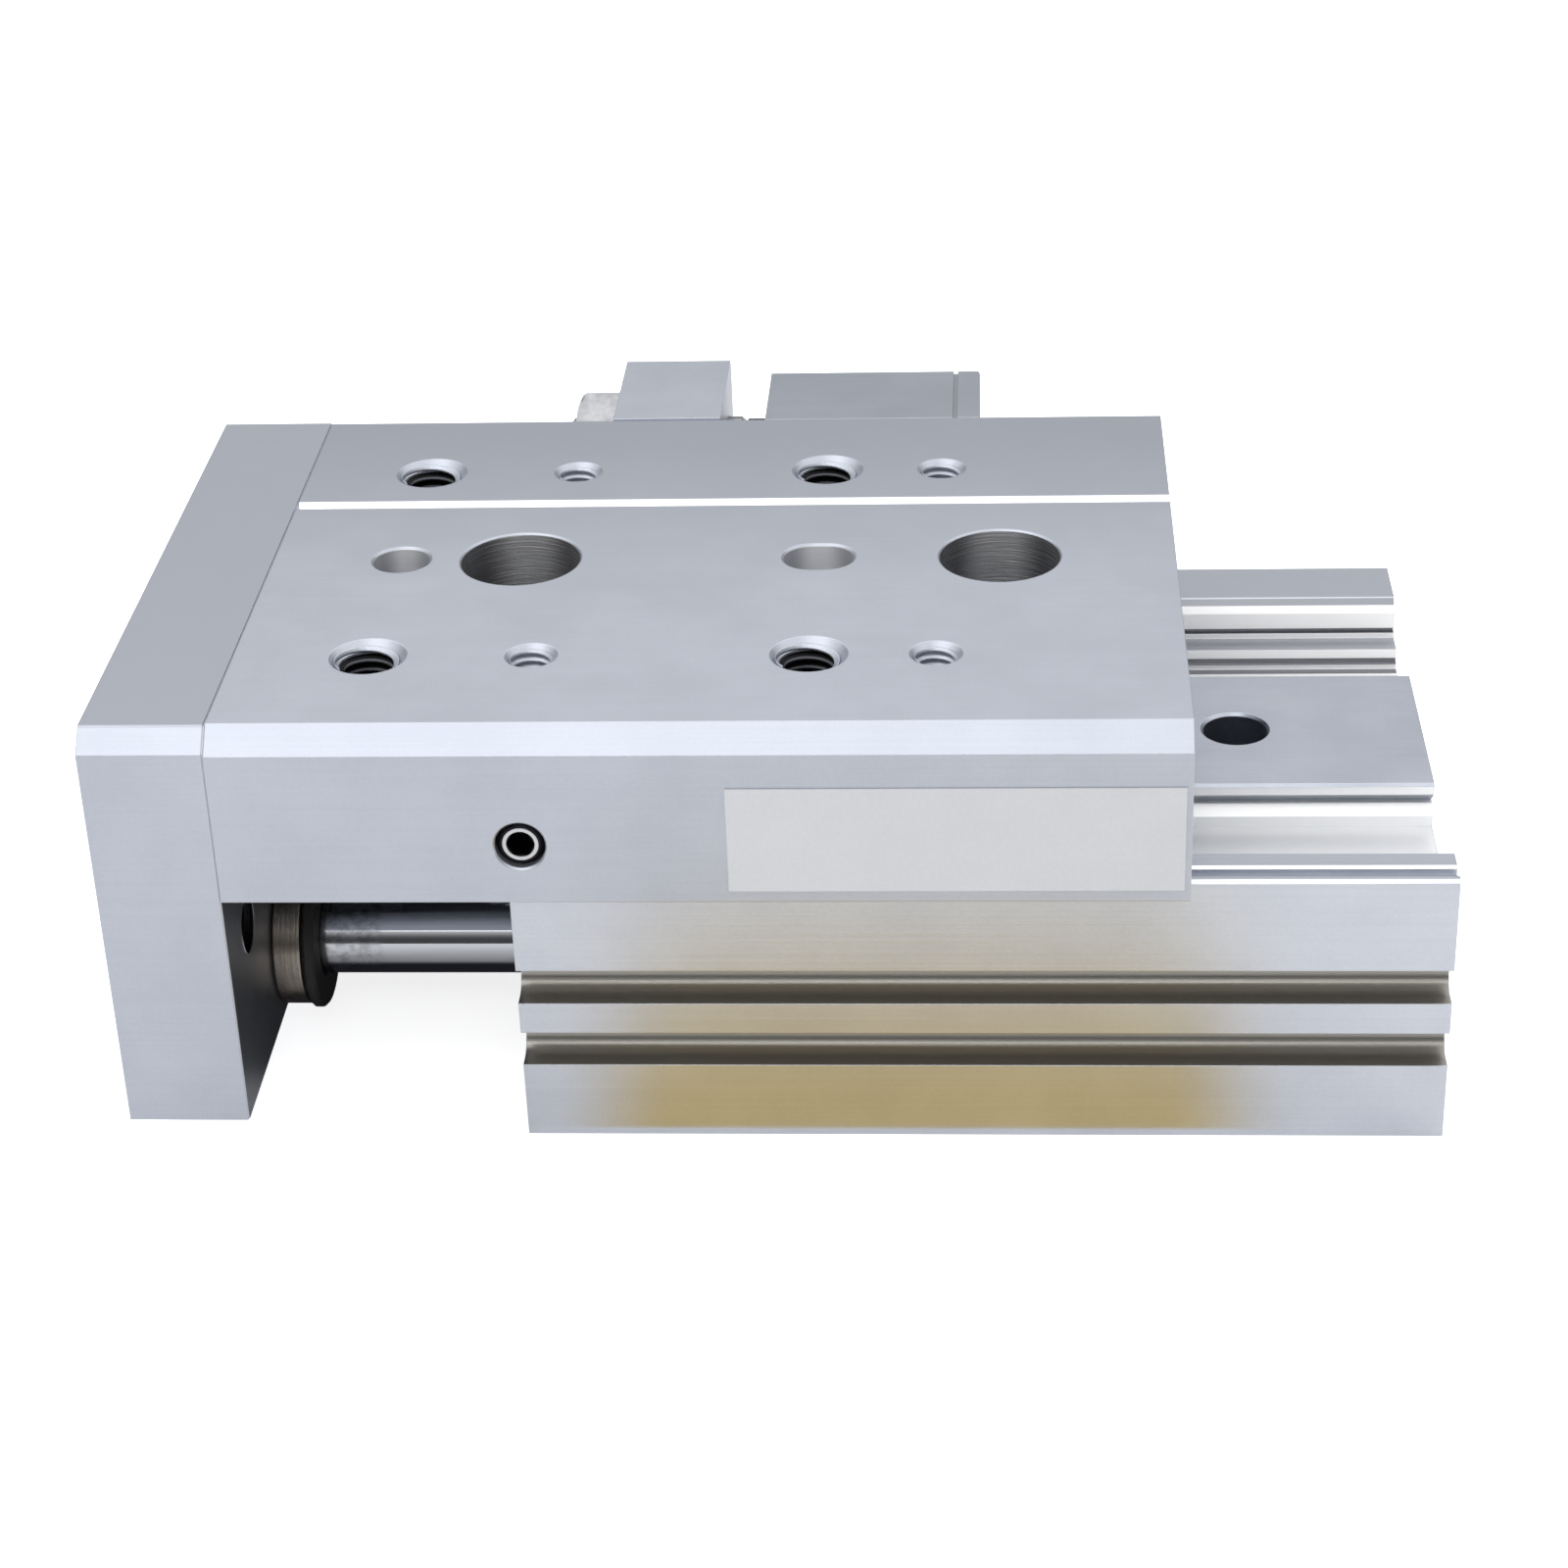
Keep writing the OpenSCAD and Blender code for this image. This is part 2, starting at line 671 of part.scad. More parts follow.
module stop_pin() {
    translate([0, 0, -stop_sunk]) cylinder(d = stop_pin_d, h = stop_sunk + stop_out);
}

module guide_cage_stops() {
    color(bright) for (side = [-1, 1]) cage_stop_at(side, body_front + stop_pin_x, guide_y) stop_pin();
}

// ---- Cylinder parts that stand still ----

module rod_cover() {
    color(brass) difference() {
        ring_x(cover_front, cover_l, bore_d - 2 * run_fit, rod_d + 2 * run_fit, 0.3);
        round_x(cover_front - cut, seal_l + cut, seal_d);
        oring_groove(cover_oring_at);
    }
}

cover_oring_at = cover_front + cover_l - cover_oring_x;

module oring_groove(x) {
    ring_x(x - oring_t / 2 - run_fit, oring_t + 2 * run_fit,
        bore_d + cut, bore_d - 2 * oring_t - 4 * run_fit);
}

module oring(x) {
    translate([x, 0, 0]) rotate([0, 90, 0]) rotate_extrude()
        translate([(bore_d - oring_t) / 2 - run_fit, 0]) circle(d = oring_t, $fn = 24);
}

module cover_orings() {
    color(rubber) both_cylinders() oring(cover_oring_at);
}

module rod_seals() {
    color(rubber) both_cylinders()
        ring_x(cover_front, seal_l, seal_d - 2 * run_fit, rod_d + 2 * run_fit, 0.4);
}

// Internal retaining ring with two lugs
module lug_ring(x) {
    outer_d = bore_d + 2 * ring_groove - 2 * run_fit;
    inner_d = 0.88 * bore_d;
    lug_r = 0.37 * bore_d;
    lug_d = 0.17 * bore_d;
    lug_hole = 0.07 * bore_d;
    open_angle = 32;
    lug_angle = open_angle + 6;
    translate([x, 0, 0]) rotate([0, 90, 0]) difference() {
        union() {
            difference() {
                cylinder(d = outer_d, h = ring_t);
                translate([0, 0, -cut]) cylinder(d = inner_d, h = ring_t + 2 * cut);
                translate([0, 0, -cut]) linear_extrude(ring_t + 2 * cut) polygon([
                    [0, 0], outer_d * [cos(open_angle), sin(open_angle)],
                    outer_d * [cos(open_angle), -sin(open_angle)]
                ]);
            }
            for (turn = [-1, 1]) rotate(turn * lug_angle)
                translate([lug_r, 0, 0]) cylinder(d = lug_d, h = ring_t);
        }
        for (turn = [-1, 1]) rotate(turn * lug_angle)
            translate([lug_r, 0, -cut]) cylinder(d = lug_hole, h = ring_t + 2 * cut);
    }
}

module cover_rings() {
    color(dark) both_cylinders() lug_ring(cover_front - ring_t);
}

module head_rings() {
    color(dark) both_cylinders() lug_ring(cap_rear);
}

module head_cap() {
    color(resin) difference() {
        round_x(cap_front, cap_l, bore_d - 2 * run_fit, 0.4);
        oring_groove(cap_oring_at);
        round_x(cap_rear - cap_recess, cap_recess + cut, bore_d / 2);
    }
}

cap_oring_at = cap_front + 0.4 * cap_l;

module head_orings() {
    color(rubber) both_cylinders() oring(cap_oring_at);
}

module end_bumpers() {
    color([0.55, 0.4, 0.16]) both_cylinders() round_x(bumper_front, end_bumper_t, end_bumper_d, 0.5);
}

// ---- Table ----

module table_outline() {
    low = table_z;
    c = table_chamfer;
    difference() {
        polygon([
            [-table_y, low], [-pocket_y, low], [-pocket_y, pocket_z], [-channel_y, pocket_z],
            [-channel_y, channel_z], [channel_y, channel_z], [channel_y, pocket_z],
            [pocket_y, pocket_z], [pocket_y, low], [table_y, low],
            [table_y, top_z - c], [table_y - c, top_z], [c - table_y, top_z], [-table_y, top_z - c]
        ]);
        translate([witness_y, top_z]) rotate(45) square(witness_d * sqrt(2), center = true);
    }
}

module table() {
    color(silver) difference() {
        bar(table_front, table_l) table_outline();
        for (x = [m6_x, m6_x + m6_pitch_x], side = [-1, 1])
            translate([table_front + x, side * row_y, top_z]) mouth_hole(m6_d, m6_depth, m6_rim);
        for (x = rail_screw_x, side = [-1, 1]) translate([x, side * row_y, 0]) {
            translate([0, 0, top_z]) mouth_hole(m5_d, top_z - pocket_z + cut, m5_rim);
            translate([0, 0, table_z]) cylinder(d = m5[0], h = rail_screw_tip + run_fit - table_z);
        }
        translate([table_front + m6_x, 0, top_z])
            mouth_hole(locate_d, locate_depth, locate_d + 2 * locate_rim);
        translate([table_front + m6_x + m6_pitch_x, 0, top_z]) locating_slot();
        for (x = [access_x, access_x + access_pitch]) translate([table_front + x, 0, top_z]) {
            mouth_hole(access_d, table_h, access_d + 2 * access_rim);
            translate([0, 0, -table_h])
                cylinder(d = access_d + access_relief, h = table_h - access_depth);
        }
        translate([table_front + m5_x, -table_y, set_z]) rotate([90, 0, 0])
            mouth_hole(m5[0], table_y - row_y, m5[0] + 0.4);
        for (i = [-1, 0, 1])
            translate([table_front - cut, i * plate_screw_pitch, plate_screw_z])
                rotate([0, 90, 0]) cylinder(d = m5[0], h = plate_screw_grip + 1 + cut);
        for (x = stop_screw_x) translate([x, table_y - stop_screw_grip - 1, stop_screw_z])
            rotate([-90, 0, 0]) cylinder(d = m5[0], h = stop_screw_grip + 1 + cut);
    }
}

module locating_slot() {
    half = (locate_slot - locate_d) / 2;
    for (dx = [-half, half]) translate([dx, 0, 0])
        mouth_hole(locate_d, locate_depth, locate_d + 2 * locate_rim);
    translate([-half, -locate_d / 2, -locate_depth]) cube([2 * half, locate_d, locate_depth + cut]);
    translate([-half, 0, 0]) rotate([90, 0, 90]) linear_extrude(2 * half) polygon([
        [-locate_d / 2, -locate_rim], [locate_d / 2, -locate_rim],
        [locate_d / 2 + locate_rim + cut, cut], [-locate_d / 2 - locate_rim - cut, cut]
    ]);
}

module side_set_screw() {
    r = m5[0] / 2 - run_fit;
    edge = 0.5;
    key = 2.5;
    key_depth = 3;
    color(dark) translate([table_front + m5_x, -table_y + set_sunk, set_z]) rotate([-90, 0, 0])
        difference() {
            rotate_extrude() polygon([
                [0, 0], [r - edge, 0], [r, edge], [r, set_l - edge], [r - edge, set_l], [0, set_l]
            ]);
            translate([0, 0, -cut]) cylinder(d = key / cos(30), h = key_depth + cut, $fn = 6);
        }
}

module label_plate() {
    rear_margin = 0.6;
    color([0.9, 0.91, 0.92]) translate([table_rear - rear_margin - label_l, -table_y - label_t,
        label_z - label_h / 2]) cube([label_l, label_t, label_h]);
}

// ---- Rails, cages and rollers ----

module rail(side) {
    low = floor_z + rail_lift;
    face = race_y;
    color(steel) scale([1, side, 1]) difference() {
        bar(rail_front, rail_l) difference() {
            polygon([
                [face, low], [rail_y, low], [rail_y, flange_z], [pocket_y, flange_z],
                [pocket_y, pocket_z], [face, pocket_z]
            ]);
            translate([face, vee_z]) vee_cut();
        }
        for (x = rail_screw_x) translate([x, row_y, 0]) {
            cylinder(d = m5[0] + 2 * bolt_fit, h = pocket_z + cut);
            cylinder(d = m5_low[1] + head_gap, h = rail_seat_z);
        }
        translate([rail_rear - stop_pin_x, face, vee_z]) rotate([90, 0, 0]) stop_hole();
    }
}

module rail_screws() {
    color(dark) for (x = rail_screw_x, side = [-1, 1])
        translate([x, side * row_y, rail_seat_z]) rotate([180, 0, 0]) cap_screw(m5_low, rail_screw_l);
}

module rail_cage_stops() {
    color(bright) for (side = [-1, 1]) translate([rail_rear - stop_pin_x, side * race_y, vee_z])
        rotate([90 * side, 0, 0]) stop_pin();
}

function roller_x(i) = cage_x + (i - (roller_n - 1) / 2) * roller_pitch;

module cage(side) {
    window_x = roller_d + 0.1;
    window_z = (roller_d + roller_l) / sqrt(2) + 0.1;
    color(brass) translate([0, side * row_centre_y, 0]) difference() {
        translate([cage_x - cage_l / 2, -cage_t / 2, cage_low]) cube([cage_l, cage_t, cage_high - cage_low]);
        for (i = [0 : roller_n - 1]) translate([roller_x(i), 0, vee_z])
            cube([window_x, 2 * cage_t, window_z], center = true);
    }
}

module rollers(side) {
    color(bright) for (i = [0 : roller_n - 1])
        translate([roller_x(i), side * row_centre_y, vee_z]) rotate([i % 2 == 0 ? 45 : -45, 0, 0])
            cylinder(d = roller_d - 2 * roller_fit, h = roller_l, center = true);
}

// ---- End plate and rods ----

// Outline of the end plate, drawn in all round by inset
module plate_outline(inset) {
    y = table_y - inset;
    high = top_z - inset;
    low = plate_z + inset;
    c = plate_chamfer - (2 - sqrt(2)) * inset;
    polygon([[-y, low], [y, low], [y, high - c], [y - c, high], [c - y, high], [-y, high - c]]);
}

module end_plate() {
    color(silver) difference() {
        union() {
            bar(plate_front, plate_t - seam_w) plate_outline(0);
            bar(plate_front + plate_t / 2, plate_t / 2) plate_outline(seam_d);
        }
        for (i = [-1, 0, 1]) translate([0, i * plate_screw_pitch, plate_screw_z]) {
            round_x(plate_front - cut, plate_t + 2 * cut, m5[0] + 2 * bolt_fit);
            round_x(plate_front - cut, plate_seat_m5 - plate_front + cut, m5[1] + 2 * head_gap);
        }
        both_cylinders() {
            round_x(plate_front - cut, plate_t + 2 * cut, m6[0] + 2 * bolt_fit);
            round_x(plate_front - cut, plate_seat_m6 - plate_front + cut, m6[1] + 2 * head_gap);
        }
        for (side = [-1, 1], z = [plate_thread_z, plate_thread_z + plate_pitch_z])
            translate([0, side * plate_pitch_y / 2, z]) round_x(plate_front - cut, plate_t + 2 * cut, m6_d);
    }
}

module plate_screws() {
    l = table_front + plate_screw_grip - plate_seat_m5;
    color(dark) for (i = [-1, 0, 1])
        translate([plate_seat_m5, i * plate_screw_pitch, plate_screw_z])
            rotate([0, -90, 0]) cap_screw(m5, l);
}

module rod_screws() {
    l = table_front + rod_thread - 1 - plate_seat_m6;
    color(dark) both_cylinders() translate([plate_seat_m6, 0, 0]) rotate([0, -90, 0]) cap_screw(m6, l);
}

module rod() {
    flat_x = table_front + collar_t + bumper_t + 0.6;
    r = rod_d / 2;
    s = spigot_d / 2 - run_fit;
    tail = piston_rear - 2;
    color(bright) difference() {
        translate([table_front, 0, 0]) rotate([0, 90, 0]) rotate_extrude() polygon([
            [0, 0], [r, 0], [r, piston_front - table_front], [s, piston_front - table_front],
            [s, tail - table_front], [0, tail - table_front]
        ]);
        round_x(table_front - cut, rod_thread + cut, m6[0]);
        for (side = [-1, 1]) translate([flat_x, -r, side * flat_af / 2 + (side < 0 ? -r : 0)])
            cube([flat_l, 2 * r, r]);
    }
}

module rod_collars() {
    color([0.42, 0.4, 0.38]) both_cylinders()
        ring_x(table_front, collar_t, collar_d, rod_d + 2 * run_fit, 0.3);
}

module rod_bumpers() {
    color(rubber) both_cylinders()
        ring_x(table_front + collar_t, bumper_t, bumper_d, rod_d + 2 * run_fit, 0.3);
}

seal_x = piston_front + piston_seal_x;
magnet_x = piston_front + piston_magnet_x;

module piston() {
    inner_d = bore_d - 2 * piston_groove;
    color(silver) difference() {
        round_x(piston_front, piston_l, bore_d - 2 * run_fit, 0.5);
        ring_x(seal_x, piston_seal_l, bore_d + cut, inner_d);
        ring_x(magnet_x, magnet_l, bore_d + cut, inner_d);
        round_x(piston_front - cut, piston_l + 2 * cut, spigot_d);
    }
}

module piston_seals() {
    color(rubber) both_cylinders() ring_x(seal_x + run_fit, piston_seal_l - 2 * run_fit,
        bore_d - run_fit, bore_d - 2 * piston_groove + run_fit, 0.3);
}

module piston_magnets() {
    color(dark) both_cylinders() ring_x(magnet_x + run_fit, magnet_l - 2 * run_fit,
        bore_d - 1, bore_d - 2 * piston_groove + run_fit);
}

// ---- Adjuster ----

module adjuster_block() {
    bevel = 1;
    slope = 12;
    inner = table_y + adjuster_gap;
    color(silver) difference() {
        bar(adj_front, adjuster_l) polygon([
            [port_side_y, adjuster_foot_z], [adjuster_y - slope, adjuster_foot_z],
            [adjuster_y, adjuster_foot_z + slope], [adjuster_y, adjuster_z - bevel],
            [adjuster_y - bevel, adjuster_z], [inner, adjuster_z], [inner, body_h],
            [port_side_y, body_h]
        ]);
        translate([0, bolt_y, bolt_z]) round_x(adj_front - cut, adjuster_l + 2 * cut, bolt_d + 2 * run_fit);
        for (z = adj_screw_z) translate([(adj_front + adj_rear) / 2, port_side_y, z]) rotate([-90, 0, 0]) {
            translate([0, 0, -cut]) cylinder(d = m5[0] + 2 * bolt_fit, h = adjuster_y - port_side_y);
            translate([0, 0, adj_seat_y - port_side_y]) cylinder(d = m5[1] + head_gap, h = adjuster_y);
        }
    }
}

module adjuster_block_screws() {
    l = adj_seat_y - port_side_y + adj_screw_grip - run_fit;
    color(dark) for (z = adj_screw_z) translate([(adj_front + adj_rear) / 2, adj_seat_y, z])
        rotate([-90, 0, 0]) cap_screw(m5, l);
}

module adjuster_nut() {
    rim_r = nut_af * 0.59;
    edge = nut_af * 0.17;
    flatness = 1.3;
    color(nickel) translate([adj_front, bolt_y, bolt_z]) rotate([0, -90, 0]) difference() {
        intersection() {
            cylinder(d = nut_af / cos(30), h = nut_t, $fn = 6);
            rotate_extrude() polygon([
                [0, 0], [rim_r, 0],
                for (a = [0:22.5:90])
                    [rim_r - flatness * edge * (1 - cos(a)), nut_t - edge * (1 - sin(a))],
                [0, nut_t]
            ]);
        }
        translate([0, 0, -cut]) cylinder(d = bolt_d + 2 * run_fit, h = nut_t + 2 * cut);
    }
}

module adjuster_bolt() {
    front = adj_front - nut_t - bolt_tail;
    l = tip_front - front;
    color(nickel) translate([0, bolt_y, bolt_z]) difference() {
        round_x(front, l, bolt_d, 0.6);
        translate([front - cut, 0, 0]) rotate([0, 90, 0])
            cylinder(d = bolt_d / 2 / cos(30), h = 3.5 + cut, $fn = 6);
        round_x(tip_front - tip_spigot_l - 2 * run_fit, tip_spigot_l + 1, tip_spigot_d + 2 * run_fit);
    }
}

module adjuster_bumper() {
    gap = 2 * run_fit;
    r = tip_d / 2;
    color(rubber) translate([tip_front - tip_spigot_l, bolt_y, bolt_z]) rotate([0, 90, 0])
        rotate_extrude() polygon([
            [0, 0], [tip_spigot_d / 2, 0], [tip_spigot_d / 2, tip_spigot_l + gap],
            [r, tip_spigot_l + gap], [r, tip_spigot_l + tip_l - 0.5], [r - 0.5, tip_spigot_l + tip_l],
            [0, tip_spigot_l + tip_l]
        ]);
}

module stop_block() {
    bevel = 1;
    score = 0.5;
    rear_lip = 2.6;
    color(silver) difference() {
        bar(stop_front, stop_l) polygon([
            [table_y, stop_z], [stop_y, stop_z], [stop_y, adjuster_z - bevel],
            [stop_y - bevel, adjuster_z], [table_y, adjuster_z]
        ]);
        for (x = stop_screw_x) translate([x, table_y, stop_screw_z]) rotate([-90, 0, 0]) {
            translate([0, 0, -cut]) cylinder(d = m5[0] + 2 * bolt_fit, h = stop_y - table_y + 2 * cut);
            translate([0, 0, stop_seat_y - table_y]) cylinder(d = m5[1] + head_gap, h = stop_y - table_y);
        }
        translate([stop_front + stop_l - rear_lip - score, table_y - cut, adjuster_z - score])
            cube([score, stop_y, 2 * score]);
        translate([stop_front + stop_l - stop_round, stop_y - stop_round, stop_z - cut]) difference() {
            cube([stop_round + cut, stop_round + cut, adjuster_z]);
            translate([0, 0, -cut]) cylinder(r = stop_round, h = adjuster_z + 2 * cut);
        }
    }
}

module stop_block_screws() {
    l = stop_seat_y - table_y + stop_screw_grip;
    color(dark) for (x = stop_screw_x) translate([x, stop_seat_y, stop_screw_z])
        rotate([-90, 0, 0]) cap_screw(m5, l);
}

body();
guide_block();
guide_screws();
guide_cage_stops();
on_cylinder(-1) rod_cover();  // rod_cover_near
on_cylinder(1) rod_cover();  // rod_cover_far
rod_seals();
cover_rings();
cover_orings();
on_cylinder(-1) head_cap();  // head_cap_near
on_cylinder(1) head_cap();  // head_cap_far
head_orings();
head_rings();
end_bumpers();
port_plugs();
adjuster_block();
adjuster_block_screws();
adjuster_nut();
table();
end_plate();
plate_screws();
rail(-1);  // rail_near
rail(1);  // rail_far
rail_screws();
rail_cage_stops();
side_set_screw();
label_plate();
on_cylinder(-1) rod();  // rod_near
on_cylinder(1) rod();  // rod_far
rod_collars();
rod_bumpers();
rod_screws();
on_cylinder(-1) piston();  // piston_near
on_cylinder(1) piston();  // piston_far
piston_seals();
piston_magnets();
stop_block();
stop_block_screws();
cage(-1);  // cage_near
cage(1);  // cage_far
rollers(-1);  // rollers_near
rollers(1);  // rollers_far
adjuster_bolt();
adjuster_bumper();
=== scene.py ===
# Looks, light and camera for the pneumatic slide table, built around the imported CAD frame
import math

import bmesh
import bpy
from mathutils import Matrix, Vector


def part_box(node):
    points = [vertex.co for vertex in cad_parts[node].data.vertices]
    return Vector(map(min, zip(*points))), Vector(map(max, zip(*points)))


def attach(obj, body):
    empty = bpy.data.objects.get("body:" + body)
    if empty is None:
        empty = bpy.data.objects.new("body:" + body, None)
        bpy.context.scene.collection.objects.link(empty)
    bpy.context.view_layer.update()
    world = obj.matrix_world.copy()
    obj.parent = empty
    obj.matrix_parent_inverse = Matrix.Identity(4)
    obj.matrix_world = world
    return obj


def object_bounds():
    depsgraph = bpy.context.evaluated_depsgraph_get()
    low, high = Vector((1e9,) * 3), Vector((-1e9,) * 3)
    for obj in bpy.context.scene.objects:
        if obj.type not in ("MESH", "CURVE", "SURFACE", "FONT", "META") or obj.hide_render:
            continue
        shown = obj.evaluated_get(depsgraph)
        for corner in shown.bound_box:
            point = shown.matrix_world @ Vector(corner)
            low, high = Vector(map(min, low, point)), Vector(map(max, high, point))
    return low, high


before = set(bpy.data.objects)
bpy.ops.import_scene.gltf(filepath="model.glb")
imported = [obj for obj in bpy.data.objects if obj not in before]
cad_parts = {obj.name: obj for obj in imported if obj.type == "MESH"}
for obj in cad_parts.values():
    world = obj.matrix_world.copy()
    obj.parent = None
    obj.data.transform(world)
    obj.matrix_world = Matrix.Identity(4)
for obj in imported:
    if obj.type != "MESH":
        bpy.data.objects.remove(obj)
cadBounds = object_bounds()
mm = 0.001
print("frame loaded:", len(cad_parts), "CAD nodes")


def linear(hexColour):
    # sRGB hex, as a paint chart gives it, to the linear colour that the shaders want
    parts = [int(hexColour[i:i + 2], 16) / 255 for i in (1, 3, 5)]
    return [p / 12.92 if p <= 0.04045 else ((p + 0.055) / 1.055) ** 2.4 for p in parts] + [1.0]


def addNode(tree, kind, settings=None):
    # one node; each setting is a plain attribute, the value of a socket, or a link into that socket
    node = tree.nodes.new("ShaderNode" + kind)
    for key, value in (settings or {}).items():
        if isinstance(value, bpy.types.NodeSocket):
            tree.links.new(value, node.inputs[key])
        elif isinstance(key, str) and hasattr(node, key):
            setattr(node, key, value)
        else:
            node.inputs[key].default_value = value
    return node


def emptyTree(owner):
    # the node tree of a new material or world, with nothing in it
    owner.use_nodes = True
    owner.node_tree.nodes.clear()
    return owner.node_tree


def startMaterial(name, settings):
    # a new material with its Principled shader, ready for colour and normal
    material = bpy.data.materials.new(name)
    tree = emptyTree(material)
    shader = addNode(tree, "BsdfPrincipled", settings)
    addNode(tree, "OutputMaterial", {"Surface": shader.outputs[0]})
    return material, tree, shader


def addObject(name, data):
    # a new object, linked to the scene
    item = bpy.data.objects.new(name, data)
    bpy.context.scene.collection.objects.link(item)
    return item


# places on the table and the body in millimetres, where the finish of one solid changes and where painted
# shade and highlights go
tappedHoles = [(-61.0, 22.5), (-16.9, 22.5)]
locatingHole = [(-61.0, 0.0)]
locatingSlot = [(-16.9, 0.0)]
accessHoles = [(-48.35, 0.0), (2.05, 0.0)]
reamed = (44.0, 49.3)
drilled = (36.0, 49.3)
alongBody = (-46.8, 46.8)
plateThreads = {"x": (-86.95, -74.72), "aside": (26.9, 33.1)}

